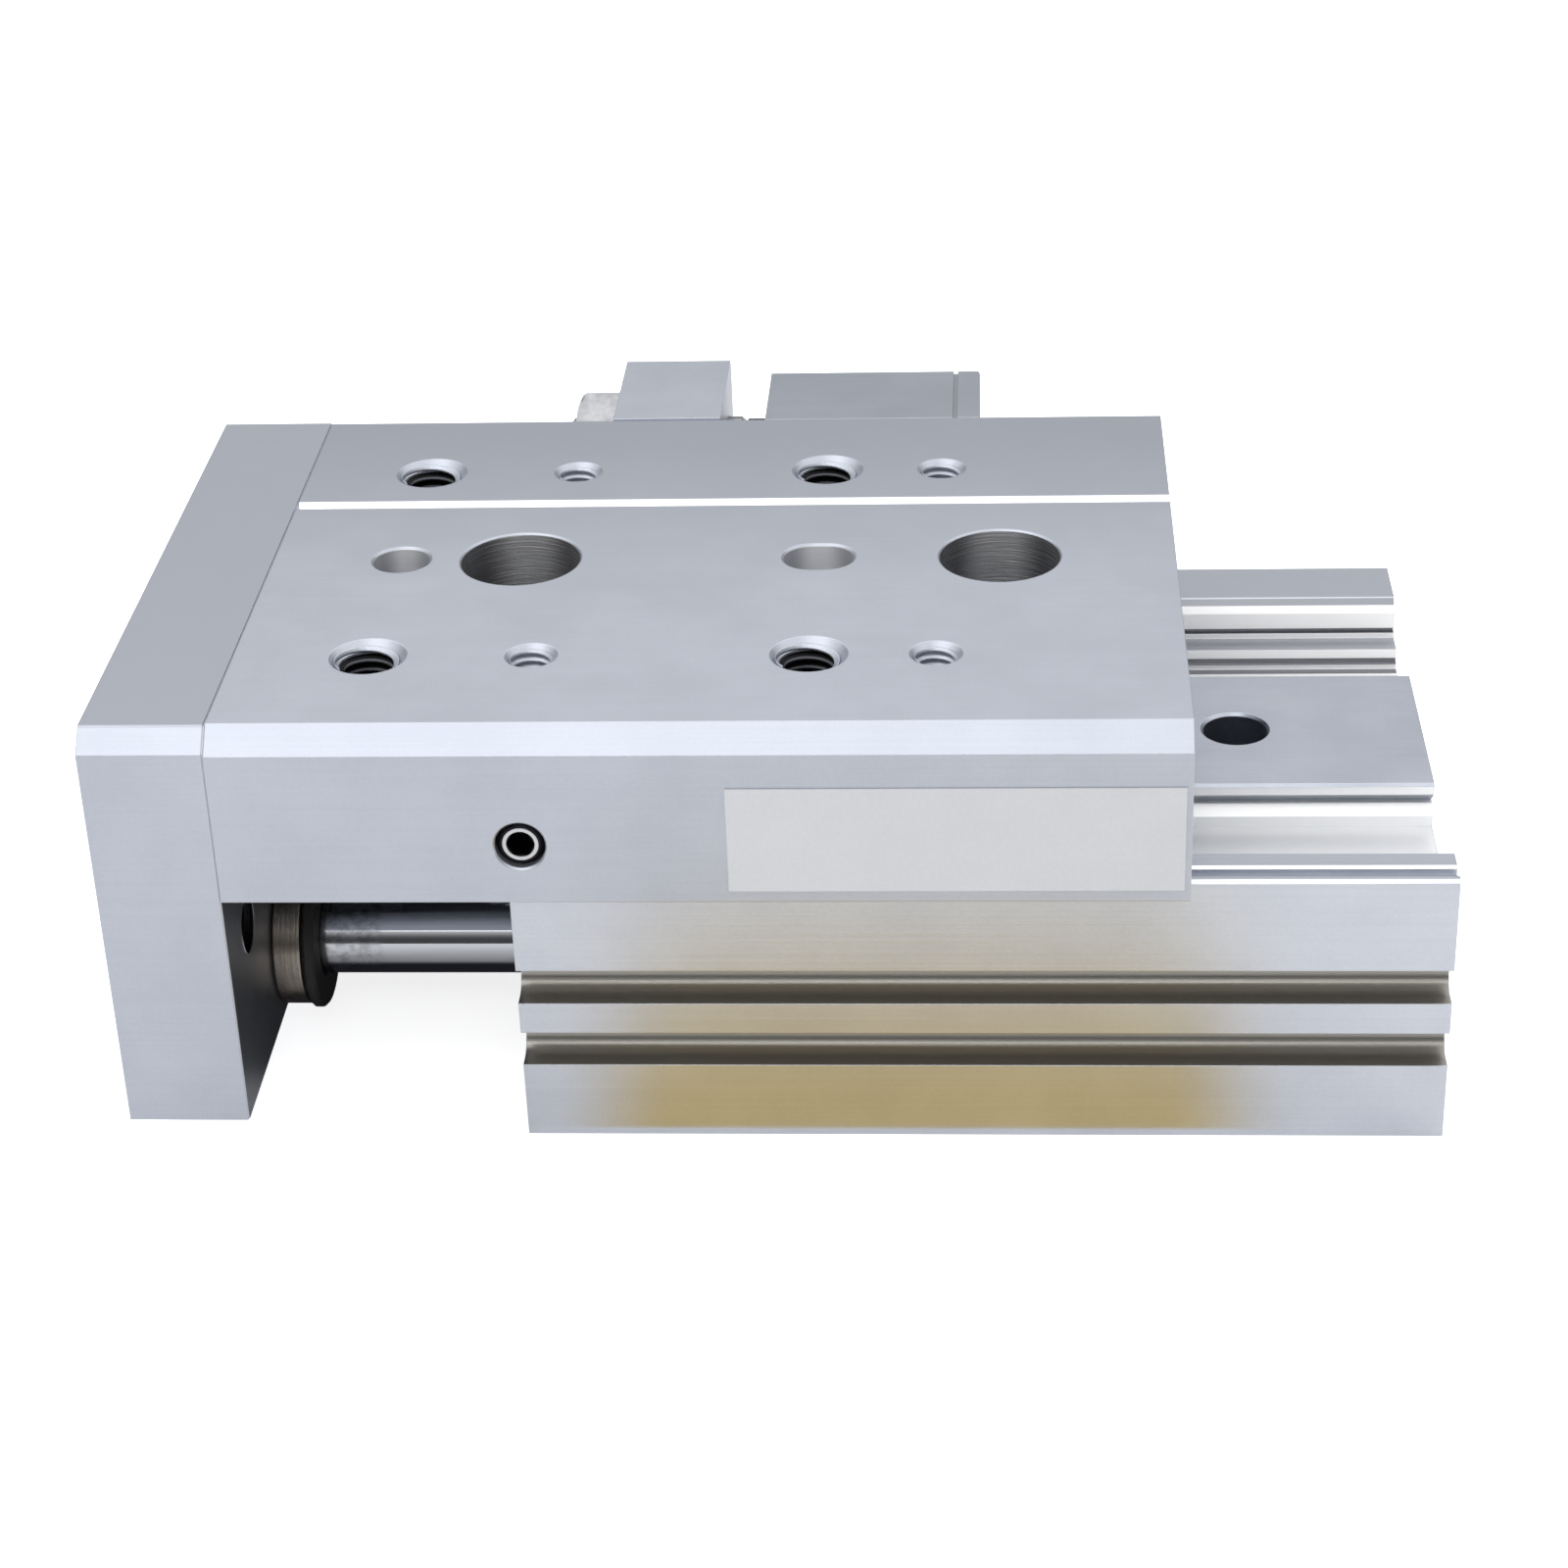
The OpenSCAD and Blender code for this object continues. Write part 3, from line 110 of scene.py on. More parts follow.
metalLooks = {
    # sulphuric hard anodising on milled aluminium: pale blue-grey, satin, with a fine even grain
    "anodisedAluminiumMilled": {
        "dark": "#b3b8c2", "light": "#bbc0ca", "edge": "#e9ebef", "metallic": 0.86, "roughness": 0.36,
        "grain": (0.30, 0.30, 0.30), "grainBump": 0.05, "lines": (26.0, 0.22, 0.22), "lineBump": 0.035,
        "edgeRound": 0.16, "edgeShow": 0.5,
        "zones": [
            # painted shade: the tapped holes are painted near black below the second turn of the thread
            {"holes": tappedHoles, "radius": 3.12, "z": (36.0, 48.3), "colour": "#0e0f11", "metallic": 0.8},
            # painted shade on the crests of their threads too, a little lighter than in the hole
            {"holes": tappedHoles, "radius": 2.68, "z": (42.0, 48.0), "colour": "#505156", "metallic": 0.8},
            # reamed locating hole and slot: bare, with a painted highlight in the middle of the wall
            {"holes": locatingHole, "radius": 3.06, "z": reamed,
             "colour": "#a9abb0", "metallic": 0.5, "rings": 0.25},
            {"holes": locatingHole, "radius": 3.06, "z": reamed, "x": (-63.6, -58.4), "soft": 2.2,
             "colour": "#dcdde0", "metallic": 0.4},
            {"holes": locatingSlot, "radius": 3.86, "z": reamed,
             "colour": "#a9abb0", "metallic": 0.5, "rings": 0.25},
            {"holes": locatingSlot, "radius": 3.86, "z": reamed, "x": (-20.2, -13.6), "soft": 2.8,
             "colour": "#dcdde0", "metallic": 0.4},
            # drilled access holes keep the rings of the drill; their walls are painted darker as shade, with
            # a painted highlight across the middle
            {"holes": accessHoles, "radius": 6.5, "z": drilled,
             "colour": "#7e7e82", "metallic": 0.75, "rings": 0.6},
            {"holes": accessHoles[:1], "radius": 6.5, "z": drilled, "x": (-53.2, -43.5), "soft": 3.6,
             "colour": "#d0d0d2", "metallic": 0.68},
            {"holes": accessHoles[1:], "radius": 6.5, "z": drilled, "x": (-2.8, 6.9), "soft": 3.6,
             "colour": "#d0d0d2", "metallic": 0.68},
            # scribed line along the top, its flanks painted white as highlight
            {"x": (-74.6, 20.3), "y": (12.9, 15.1), "z": (48.0, 49.47), "colour": "#fdfdfe", "metallic": 0.8},
            # painted shade: the top turns a little darker towards the far side
            {"y": (-14.0, 200.0), "soft": 52.0, "z": (49.47, 49.6), "colour": "#a2a7b1"},
        ],
    },
    # hard anodising on an extruded profile: the die leaves long faint lines along the stroke
    "anodisedAluminiumExtruded": {
        "dark": "#c3c7d0", "light": "#cbcfd7", "edge": "#eef0f4", "metallic": 0.86, "roughness": 0.28,
        "grain": (0.30, 0.30, 0.30), "grainBump": 0.04, "lines": (60.0, 0.30, 0.30), "lineBump": 0.06,
        "edgeRound": 0.14, "edgeShow": 0.5,
        "zones": [
            # painted shade: the tops of the two shoulders are painted a little greyer
            {"x": alongBody, "aside": (29.05, 40.0), "z": (30.12, 30.3), "colour": "#aeb2bb"},
            # the guide channel is milled after anodising and bare; it is also painted near white, a painted
            # highlight for the light inside the channel
            {"x": alongBody, "aside": (12.0, 29.05), "z": (22.0, 30.1),
             "colour": "#fbfbfc", "metallic": 0.25},
            {"x": alongBody, "aside": (12.0, 20.0), "z": (22.0, 23.9), "colour": "#f0f1f3", "metallic": 0.3},
            # painted highlight: the chamfers of the line beside the channel are painted bright
            {"x": alongBody, "aside": (31.0, 34.2), "z": (29.86, 30.17),
             "colour": "#fdfdfe", "metallic": 0.8},
            # painted highlight on one flank, painted shade on the treads and in the corners of the steps
            {"x": alongBody, "aside": (27.5, 27.7), "z": (26.9, 28.85), "colour": "#ffffff", "metallic": 0.0},
            {"x": alongBody, "aside": (24.25, 27.15), "z": (25.7, 25.95), "colour": "#b4b7bd"},
            {"x": alongBody, "aside": (27.25, 28.3), "z": (26.3, 26.95), "colour": "#a0a2a7"},
            {"x": alongBody, "aside": (23.5, 24.3), "z": (24.3, 24.85), "colour": "#8e9095"},
            {"x": alongBody, "aside": (22.4, 23.5), "z": (23.6, 23.85), "colour": "#8e9095"},
            {"x": alongBody, "aside": (28.3, 29.05), "z": (29.45, 30.1), "colour": "#94979d"},
            # painted shade: the sensor grooves are painted darker than the faces
            {"x": alongBody, "aside": (30.0, 34.15), "z": (8.2, 12.7), "colour": "#9c9993"},
            {"x": alongBody, "aside": (30.0, 34.15), "z": (15.6, 20.1), "colour": "#9c9993"},
        ],
    },
    # bearing steel, ground: a shade darker than the anodising, lines of the grinding wheel along X
    "bearingSteelGround": {
        "dark": "#a9afba", "light": "#b6bbc5", "edge": "#f0f1f4", "metallic": 1.0, "roughness": 0.30,
        "grain": (0.22, 0.22, 0.22), "grainBump": 0.02, "lines": (18.0, 0.16, 0.16), "lineBump": 0.06,
        "edgeRound": 0.12, "edgeShow": 0.4,
        # painted highlights: the sides beside the raceways and the raceways themselves are painted near white
        "zones": [
            {"x": alongBody, "aside": (12.36, 12.6), "z": (23.0, 28.5), "colour": "#f8f9fa", "metallic": 0.5},
            {"x": alongBody, "aside": (10.8, 12.36), "z": (24.8, 26.1), "colour": "#ffffff", "metallic": 0.4},
        ],
    },
    # aluminium turned from bar: pale, with fine rings round the X axis
    "aluminiumTurned": {
        "dark": "#bfc0c2", "light": "#cbccce", "edge": "#e6e6e8", "metallic": 1.0, "roughness": 0.3,
        "grain": (0.25, 0.25, 0.25), "grainBump": 0.02, "lines": (0.25, 6.0, 6.0), "lineBump": 0.05,
        "edgeRound": 0.1, "edgeShow": 0.3,
    },
    # carbon steel turned and oiled: brown-grey, with fine turning rings round the X axis
    "carbonSteelTurned": {
        "dark": "#968c83", "light": "#b0a69c", "edge": "#c4bbb1", "metallic": 1.0, "roughness": 0.27,
        "grain": (0.4, 0.4, 0.4), "grainBump": 0.03, "lines": (0.18, 5.0, 5.0), "lineBump": 0.1,
        "edgeRound": 0.12, "edgeShow": 0.35,
    },
    # alloy steel screws with black oxide: near black, slightly oily, worn to grey on the edges
    "alloySteelBlackOxide": {
        "dark": "#17171a", "light": "#232327", "edge": "#5c5c60", "metallic": 0.9, "roughness": 0.38,
        "grain": (0.35, 0.35, 0.35), "grainBump": 0.06, "lines": (4.0, 4.0, 0.3), "lineBump": 0.02,
        "edgeRound": 0.1, "edgeShow": 0.45,
    },
    # steel with bright nickel plating: smooth, nearly a mirror
    "steelNickelPlated": {
        "dark": "#96989c", "light": "#bcbdc0", "edge": "#e8e9ea", "metallic": 1.0, "roughness": 0.17,
        "grain": (0.8, 0.8, 0.8), "grainBump": 0.03, "lines": (3.0, 3.0, 3.0), "lineBump": 0.01,
        "edgeRound": 0.15, "edgeShow": 0.3,
    },
    # brass turned from bar: yellow, with fine rings round the X axis
    "brassTurned": {
        "dark": "#a9893f", "light": "#bd9c4e", "edge": "#dcc07a", "metallic": 1.0, "roughness": 0.28,
        "grain": (0.3, 0.3, 0.3), "grainBump": 0.02, "lines": (0.2, 5.0, 5.0), "lineBump": 0.05,
        "edgeRound": 0.1, "edgeShow": 0.3,
    },
}


# the blocks are a shade darker than the table; the end plate keeps the table's colour, with painted shade on
# its top, its rear face and in its threads
metalLooks["anodisedAluminiumPlate"] = {
    **metalLooks["anodisedAluminiumMilled"], "zones": [
        # painted shade: the top is painted a shade darker
        {"z": (49.3, 49.6), "colour": "#aaafb9"},
        # painted shade: the rear face and the threads are painted darker
        {"x": (-74.7, -74.6), "z": (4.0, 30.7), "colour": "#76797f"},
        {**plateThreads, "z": (19.6, 25.8), "colour": "#1b1c1f"},
        {**plateThreads, "z": (36.6, 42.8), "colour": "#1b1c1f"},
    ]}
metalLooks["anodisedAluminiumBlock"] = {
    **metalLooks["anodisedAluminiumMilled"], "dark": "#b0b6c0", "light": "#b8bdc7", "zones": []}
metalLooks["anodisedAluminiumBar"] = {
    **metalLooks["anodisedAluminiumMilled"], "dark": "#9ba1aa", "light": "#a3a8b1", "zones": []}

metalMix = {
    # shared by all metals: sizes and depths in millimetres, and the share of each pattern in the tone
    "driftSize": (9.0, 9.0, 9.0), "ringSize": (7.0, 7.0, 0.22), "bumpDepth": 0.2,
    "driftShare": 0.6, "lineShare": 0.35, "grainShare": 0.35, "toneLow": 0.5, "toneHigh": 0.8,
    # how far the bevelled normal turns (as a cosine) where wear starts and where it is full
    "wearStart": 0.995, "wearFull": 0.86,
    # how much smoother and rougher than the middle value the tones are
    "smoother": 0.05, "rougher": 0.06,
}


def zoneMask(tree, place, zone):
    # one inside the limits of the zone in millimetres, else zero; aside counts from the middle plane
    spot = addNode(tree, "SeparateXYZ", {0: place}).outputs
    aside = addNode(tree, "Math", {"operation": "ABSOLUTE", 0: spot["Y"]}).outputs[0]
    masks = []
    for key, source in (("x", spot["X"]), ("y", spot["Y"]), ("aside", aside), ("z", spot["Z"])):
        for i, limit in enumerate(zone.get(key, ())):
            if key in ("x", "y") and "soft" in zone:
                full = limit + (zone["soft"], -zone["soft"])[i]
                masks.append(addNode(tree, "MapRange", {
                    "interpolation_type": "SMOOTHSTEP", "Value": source,
                    "From Min": limit * mm, "From Max": full * mm}).outputs[0])
            else:
                masks.append(addNode(tree, "Math", {
                    "operation": ("GREATER_THAN", "LESS_THAN")[i], 0: source, 1: limit * mm}).outputs[0])
    flat = addNode(tree, "CombineXYZ", {"X": spot["X"], "Y": aside}).outputs[0]
    near = None
    for x, y in zone.get("holes", ()):
        away = addNode(tree, "VectorMath", {
            "operation": "DISTANCE", 0: flat, 1: (x * mm, y * mm, 0)}).outputs["Value"]
        inside = addNode(tree, "Math", {
            "operation": "LESS_THAN", 0: away, 1: zone["radius"] * mm}).outputs[0]
        if near is not None:
            inside = addNode(tree, "Math", {"operation": "MAXIMUM", 0: near, 1: inside}).outputs[0]
        near = inside
    mask = near if near is not None else masks.pop()
    for other in masks:
        mask = addNode(tree, "Math", {"operation": "MULTIPLY", 0: mask, 1: other}).outputs[0]
    return mask


def metalMaterial(name):
    # colour drifts over a few millimetres, grain and tool lines give the bump, worn edges are lighter
    look = metalLooks[name]
    material, tree, shader = startMaterial(
        name, {"Metallic": look["metallic"], "Roughness": look["roughness"]})
    place = addNode(tree, "TexCoord").outputs["Object"]

    def scaled(sizes):
        # a pattern whose features are sizes millimetres long in X, Y and Z
        return addNode(tree, "VectorMath", {
            "operation": "MULTIPLY", 0: place, 1: [1000 / s for s in sizes]}).outputs[0]

    drift = addNode(tree, "TexNoise", {
        "Vector": scaled(metalMix["driftSize"]), "Scale": 1.0, "Detail": 3.0,
        "Roughness": 0.55}).outputs["Fac"]
    grain = addNode(tree, "TexNoise", {
        "Vector": scaled(look["grain"]), "Scale": 1.0, "Detail": 2.0, "Roughness": 0.6}).outputs["Fac"]
    lines = addNode(tree, "TexNoise", {
        "Vector": scaled(look["lines"]), "Scale": 1.0, "Detail": 2.0, "Roughness": 0.5}).outputs["Fac"]
    tone = 0.0
    for pattern, share in ((grain, "grainShare"), (lines, "lineShare"), (drift, "driftShare")):
        tone = addNode(tree, "Math", {
            "operation": "MULTIPLY_ADD", 0: pattern, 1: metalMix[share], 2: tone}).outputs[0]
    lightness = addNode(tree, "MapRange", {
        "Value": tone, "From Min": metalMix["toneLow"], "From Max": metalMix["toneHigh"]}).outputs[0]
    base = addNode(tree, "Mix", {
        "data_type": "RGBA", 0: lightness, 6: linear(look["dark"]), 7: linear(look["light"])}).outputs[2]

    # rounded edge: the bevelled normal turns away from the true one only close to an edge
    rounded = addNode(tree, "Bevel", {"samples": 6, "Radius": look["edgeRound"] * mm}).outputs[0]
    flat = addNode(tree, "NewGeometry").outputs["Normal"]
    turn = addNode(tree, "VectorMath", {"operation": "DOT_PRODUCT", 0: rounded, 1: flat}).outputs[1]
    worn = addNode(tree, "MapRange", {
        "Value": turn, "From Min": metalMix["wearStart"], "From Max": metalMix["wearFull"],
        "To Max": look["edgeShow"]}).outputs[0]
    colour = addNode(tree, "Mix", {
        "data_type": "RGBA", 0: worn, 6: base, 7: linear(look["edge"])}).outputs[2]
    ringed = []
    metal = look["metallic"]
    for zone in look.get("zones", ()):
        inside = zoneMask(tree, place, zone)
        colour = addNode(tree, "Mix", {
            "data_type": "RGBA", 0: inside, 6: colour, 7: linear(zone["colour"])}).outputs[2]
        metal = addNode(tree, "Mix", {
            "data_type": "FLOAT", 0: inside, 2: metal, 3: zone.get("metallic", look["metallic"])}).outputs[0]
        if "rings" in zone:
            ringed.append(addNode(tree, "Math", {
                "operation": "MULTIPLY", 0: inside, 1: zone["rings"]}).outputs[0])
    if look.get("zones"):
        tree.links.new(metal, shader.inputs["Metallic"])
    tree.links.new(colour, shader.inputs["Base Color"])

    rough = addNode(tree, "MapRange", {
        "Value": tone, "To Min": look["roughness"] - metalMix["smoother"],
        "To Max": look["roughness"] + metalMix["rougher"]}).outputs[0]
    tree.links.new(rough, shader.inputs["Roughness"])
    bumped = addNode(tree, "Bump", {
        "Height": grain, "Strength": look["grainBump"], "Distance": metalMix["bumpDepth"] * mm,
        "Normal": rounded}).outputs[0]
    bumped = addNode(tree, "Bump", {
        "Height": lines, "Strength": look["lineBump"], "Distance": metalMix["bumpDepth"] * mm,
        "Normal": bumped}).outputs[0]
    for strength in ringed:
        rings = addNode(tree, "TexNoise", {
            "Vector": scaled(metalMix["ringSize"]), "Scale": 1.0, "Detail": 2.0}).outputs["Fac"]
        bumped = addNode(tree, "Bump", {
            "Height": rings, "Strength": strength, "Distance": metalMix["bumpDepth"] * mm,
            "Normal": bumped}).outputs[0]
    tree.links.new(bumped, shader.inputs["Normal"])
    return material


rodLook = {
    # hard chrome on a ground piston rod: a mirror, dulled and marked where the wrench flats are
    "bright": "#b6b8bd", "marked": "#9a9ca0", "polish": 0.07, "matt": 0.15,
    # the marks end at this X, with an edge as ragged as this and a soft border, in millimetres
    "markEnd": -63.4, "ragged": 2.4, "borderStart": 1.6, "borderEnd": 0.8,
    "spotsLow": 0.42, "spotsHigh": 0.6,
    # pattern scales per metre along and across the rod
    "blotches": (1100, 1500, 1500), "rings": (6000, 60, 60), "ringBump": 0.02, "ringDepth": 0.1,
}


def rodMaterial():
    # matt and blotched from the end plate to the ragged border, polished beyond it, faint rings all along
    material, tree, shader = startMaterial(
        "hardChromePolished", {"Metallic": 1.0, "Roughness": rodLook["polish"]})
    place = addNode(tree, "TexCoord").outputs["Object"]
    along = addNode(tree, "SeparateXYZ", {0: place}).outputs["X"]
    blotchPlace = addNode(tree, "VectorMath", {
        "operation": "MULTIPLY", 0: place, 1: rodLook["blotches"]}).outputs[0]
    blotch = addNode(tree, "TexNoise", {
        "Vector": blotchPlace, "Scale": 1.0, "Detail": 4.0, "Roughness": 0.65}).outputs["Fac"]
    ragged = addNode(tree, "Math", {
        "operation": "MULTIPLY_ADD", 0: blotch, 1: rodLook["ragged"] * mm, 2: along}).outputs[0]
    matt = addNode(tree, "MapRange", {
        "Value": ragged, "From Min": (rodLook["markEnd"] + rodLook["borderStart"]) * mm,
        "From Max": (rodLook["markEnd"] + rodLook["borderEnd"]) * mm}).outputs[0]
    spots = addNode(tree, "MapRange", {
        "Value": blotch, "From Min": rodLook["spotsLow"], "From Max": rodLook["spotsHigh"]}).outputs[0]
    mark = addNode(tree, "Math", {"operation": "MULTIPLY", 0: matt, 1: spots}).outputs[0]
    colour = addNode(tree, "Mix", {
        "data_type": "RGBA", 0: mark, 6: linear(rodLook["bright"]), 7: linear(rodLook["marked"])}).outputs[2]
    tree.links.new(colour, shader.inputs["Base Color"])
    rough = addNode(tree, "MapRange", {
        "Value": matt, "To Min": rodLook["polish"], "To Max": rodLook["matt"]}).outputs[0]
    tree.links.new(rough, shader.inputs["Roughness"])
    ringPlace = addNode(tree, "VectorMath", {
        "operation": "MULTIPLY", 0: place, 1: rodLook["rings"]}).outputs[0]
    rings = addNode(tree, "TexNoise", {"Vector": ringPlace, "Scale": 1.0, "Detail": 1.0}).outputs["Fac"]
    bump = addNode(tree, "Bump", {
        "Height": rings, "Strength": rodLook["ringBump"], "Distance": rodLook["ringDepth"] * mm}).outputs[0]
    tree.links.new(bump, shader.inputs["Normal"])
    return material


plainLooks = {
    # nitrile rubber, moulded: black, dry, with the faint pebble of the mould
    "nitrileRubberMoulded": {
        "dark": "#0f0f10", "light": "#1a1a1b", "roughness": 0.62, "ior": 1.52, "pebble": 0.5, "bump": 0.12},
    # cast polyurethane: amber and slightly waxy
    "polyurethaneCast": {
        "dark": "#8a5f1c", "light": "#a37428", "roughness": 0.45, "ior": 1.5, "pebble": 0.9, "bump": 0.05},
    # glass filled resin, moulded: dark grey with a fine fleck
    "filledResinMoulded": {
        "dark": "#1d1e20", "light": "#2a2b2e", "roughness": 0.5, "ior": 1.54, "pebble": 0.35, "bump": 0.1},
    # plastic bonded magnet: dark and dusty
    "bondedMagnetPressed": {
        "dark": "#28282a", "light": "#38383b", "roughness": 0.6, "ior": 1.55, "pebble": 0.3, "bump": 0.12},
    # polyester label film with a silver-grey matt coat
    "polyesterFilmMatt": {
        "dark": "#bfc1c5", "light": "#c4c6ca", "roughness": 0.38, "ior": 1.57, "pebble": 0.4, "bump": 0.02},
}
# shared by the plain materials: sizes in millimetres and the span of the tone
plainMix = {"cloudSize": 7.0, "toneLow": 0.7, "toneHigh": 1.3, "edgeRound": 0.12, "bumpDepth": 0.2}


def plainMaterial(name):
    # two close tones in a soft cloud, with the pebble of the surface as bump
    look = plainLooks[name]
    material, tree, shader = startMaterial(
        name, {"Metallic": 0.0, "Roughness": look["roughness"], "IOR": look["ior"]})
    place = addNode(tree, "TexCoord").outputs["Object"]
    pebble = addNode(tree, "TexNoise", {
        "Vector": place, "Scale": 1000 / look["pebble"], "Detail": 2.0}).outputs["Fac"]
    cloud = addNode(tree, "TexNoise", {
        "Vector": place, "Scale": 1000 / plainMix["cloudSize"], "Detail": 2.0}).outputs["Fac"]
    tone = addNode(tree, "Math", {"operation": "ADD", 0: pebble, 1: cloud}).outputs[0]
    lightness = addNode(tree, "MapRange", {
        "Value": tone, "From Min": plainMix["toneLow"], "From Max": plainMix["toneHigh"]}).outputs[0]
    colour = addNode(tree, "Mix", {
        "data_type": "RGBA", 0: lightness, 6: linear(look["dark"]), 7: linear(look["light"])}).outputs[2]
    tree.links.new(colour, shader.inputs["Base Color"])
    rounded = addNode(tree, "Bevel", {"samples": 4, "Radius": plainMix["edgeRound"] * mm}).outputs[0]
    bump = addNode(tree, "Bump", {
        "Height": pebble, "Strength": look["bump"], "Distance": plainMix["bumpDepth"] * mm,
        "Normal": rounded}).outputs[0]
    tree.links.new(bump, shader.inputs["Normal"])
    return material


materials = {name: metalMaterial(name) for name in metalLooks}
materials.update({name: plainMaterial(name) for name in plainLooks})
materials["hardChromePolished"] = rodMaterial()
print("materials made:", len(materials))

# which finish each CAD node wears
nodeFinish = {
    "anodisedAluminiumMilled": ["table"],
    "anodisedAluminiumPlate": ["end_plate"],
    "anodisedAluminiumBlock": ["adjuster_block"],
    "anodisedAluminiumBar": ["stop_block"],
    "anodisedAluminiumExtruded": ["body"],
    "bearingSteelGround": ["guide_block", "rail_near", "rail_far"],
    "aluminiumTurned": ["piston_near", "piston_far"],
    "carbonSteelTurned": ["rod_collars"],
    "alloySteelBlackOxide": [
        "guide_screws", "cover_rings", "head_rings", "port_plugs", "adjuster_block_screws", "plate_screws",
        "rail_screws", "side_set_screw", "rod_screws", "stop_block_screws"],
    "steelNickelPlated": [
        "adjuster_nut", "adjuster_bolt", "guide_cage_stops", "rail_cage_stops",
        "rollers_near", "rollers_far"],
    "brassTurned": ["rod_cover_near", "rod_cover_far", "cage_near", "cage_far"],
    "nitrileRubberMoulded": [
        "rod_seals", "cover_orings", "head_orings", "rod_bumpers", "piston_seals", "adjuster_bumper"],
    "polyurethaneCast": ["end_bumpers"],
    "filledResinMoulded": ["head_cap_near", "head_cap_far"],
    "bondedMagnetPressed": ["piston_magnets"],
    "polyesterFilmMatt": ["label_plate"],
    "hardChromePolished": ["rod_near", "rod_far"],
}
for finish, names in nodeFinish.items():
    for name in names:
        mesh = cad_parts[name].data
        mesh.materials.clear()
        mesh.materials.append(materials[finish])
dressed = {name for names in nodeFinish.values() for name in names}
print("CAD nodes without a finish:", sorted(set(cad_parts) - dressed))


def addBuilt(name, build, finish):
    # an object made of the faces in build, which look outwards
    bmesh.ops.recalc_face_normals(build, faces=build.faces)
    mesh = bpy.data.meshes.new(name)
    build.to_mesh(mesh)
    build.free()
    mesh.materials.append(materials[finish])
    return addObject(name, mesh)


ridge = {
    # half the width at root and crest, as shares of the pitch, and how deep the root sits in the wall
    "steps": 36, "rootHalf": 0.46, "crestHalf": 0.08, "sunk": 0.05,
    # both ends rise over this part of a turn, from this share of the height
    "runOut": 0.6, "least": 0.04,
    # where the ridge widens with the countersink by this much it loses this share of its height
    "rimDepth": 0.6, "rimLoss": 0.7,
}


def threadRidge(name, start, axis, cut, finish, body):
    # a helical ridge on the wall of a bore (its height below zero stands inwards);
    # it widens with the countersink over the first rim millimetres
    steps = ridge["steps"]
    count = int(cut["turns"] * steps)
    across = Vector(axis).orthogonal().normalized()
    side = Vector(axis).cross(across)
    build = bmesh.new()
    rings = []
    for i in range(count + 1):
        angle = 2 * math.pi * i / steps
        out = across * math.cos(angle) + side * math.sin(angle)
        centre = Vector(start) + Vector(axis) * cut["pitch"] * i / steps
        grown = min(1.0, min(i, count - i) / (steps * ridge["runOut"]))
        rise = cut["height"] * (grown * (1 - ridge["least"]) + ridge["least"])
        flare = max(0.0, cut["rim"] - cut["pitch"] * i / steps)
        rise *= 1 - ridge["rimLoss"] * min(1.0, flare / ridge["rimDepth"])
        root = cut["radius"] + flare + ridge["sunk"]
        crest = cut["radius"] + flare + rise
        rings.append([
            build.verts.new((centre + out * r + Vector(axis) * along * cut["pitch"]) * mm)
            for r, along in ((root, -ridge["rootHalf"]), (crest, -ridge["crestHalf"]),
                             (crest, ridge["crestHalf"]), (root, ridge["rootHalf"]))])
    for a, b in zip(rings, rings[1:]):
        for k in range(4):
            build.faces.new((a[k], a[(k + 1) % 4], b[(k + 1) % 4], b[k]))
    build.faces.new(rings[0][::-1])
    build.faces.new(rings[-1])
    piece = addBuilt(name, build, finish)
    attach(piece, body)


tableLow, tableHigh = [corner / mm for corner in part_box("table")]
threads = {
    # places in millimetres, from the front of the table and from its centre line
    "largeX": [13.65, 57.75], "smallX": [30.05, 70.35], "rowY": 22.5,
    "large": {"radius": 3.0, "height": -0.50, "pitch": 1.0, "turns": 10.6, "rim": 0.45},
    "small": {"radius": 2.15, "height": -0.30, "pitch": 0.8, "turns": 6.6, "rim": 0.05},
    # how far the first turn lies below the top of the table and in front of the rear face of the plate
    "below": 0.5, "before": 0.25,
    # the holes of the end plate have no countersink on this side
    "plateY": 30.0, "plateZ": [22.7, 39.7],
}
for size in ("large", "small"):
    for i, x in enumerate(threads[size + "X"]):
        for side, where in ((-1, "near"), (1, "far")):
            start = (tableLow.x + x, side * threads["rowY"], tableHigh.z - threads["below"])
            threadRidge(f"thread_{size}_{i}_{where}", start, (0, 0, -1), threads[size],
                        "anodisedAluminiumMilled", "slider")
plateCut = {**threads["large"], "turns": 11.2, "rim": 0.0}
for side, where in ((-1, "near"), (1, "far")):
    for height, level in zip(threads["plateZ"], ("low", "high")):
        start = (tableLow.x - threads["before"], side * threads["plateY"], height)
        threadRidge(f"thread_plate_{where}_{level}", start, (-1, 0, 0), plateCut,
                    "anodisedAluminiumPlate", "slider")


# the set screw in the side of the table: its socket has a bright turned ring round it
screwRing = {"inner": 1.40, "outer": 1.78, "thick": 0.06, "sunk": 0.02, "steps": 64}
screwLow, screwHigh = [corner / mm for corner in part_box("side_set_screw")]
build = bmesh.new()
rings = []
for radius, depth in ((screwRing["inner"], screwRing["sunk"]), (screwRing["inner"], -screwRing["thick"]),
                      (screwRing["outer"], -screwRing["thick"]), (screwRing["outer"], screwRing["sunk"])):
    ring = []
    for i in range(screwRing["steps"]):
        angle = 2 * math.pi * i / screwRing["steps"]
        ring.append(build.verts.new(Vector((
            (screwLow.x + screwHigh.x) / 2 + radius * math.cos(angle), screwLow.y + depth,
            (screwLow.z + screwHigh.z) / 2 + radius * math.sin(angle))) * mm))
    rings.append(ring)
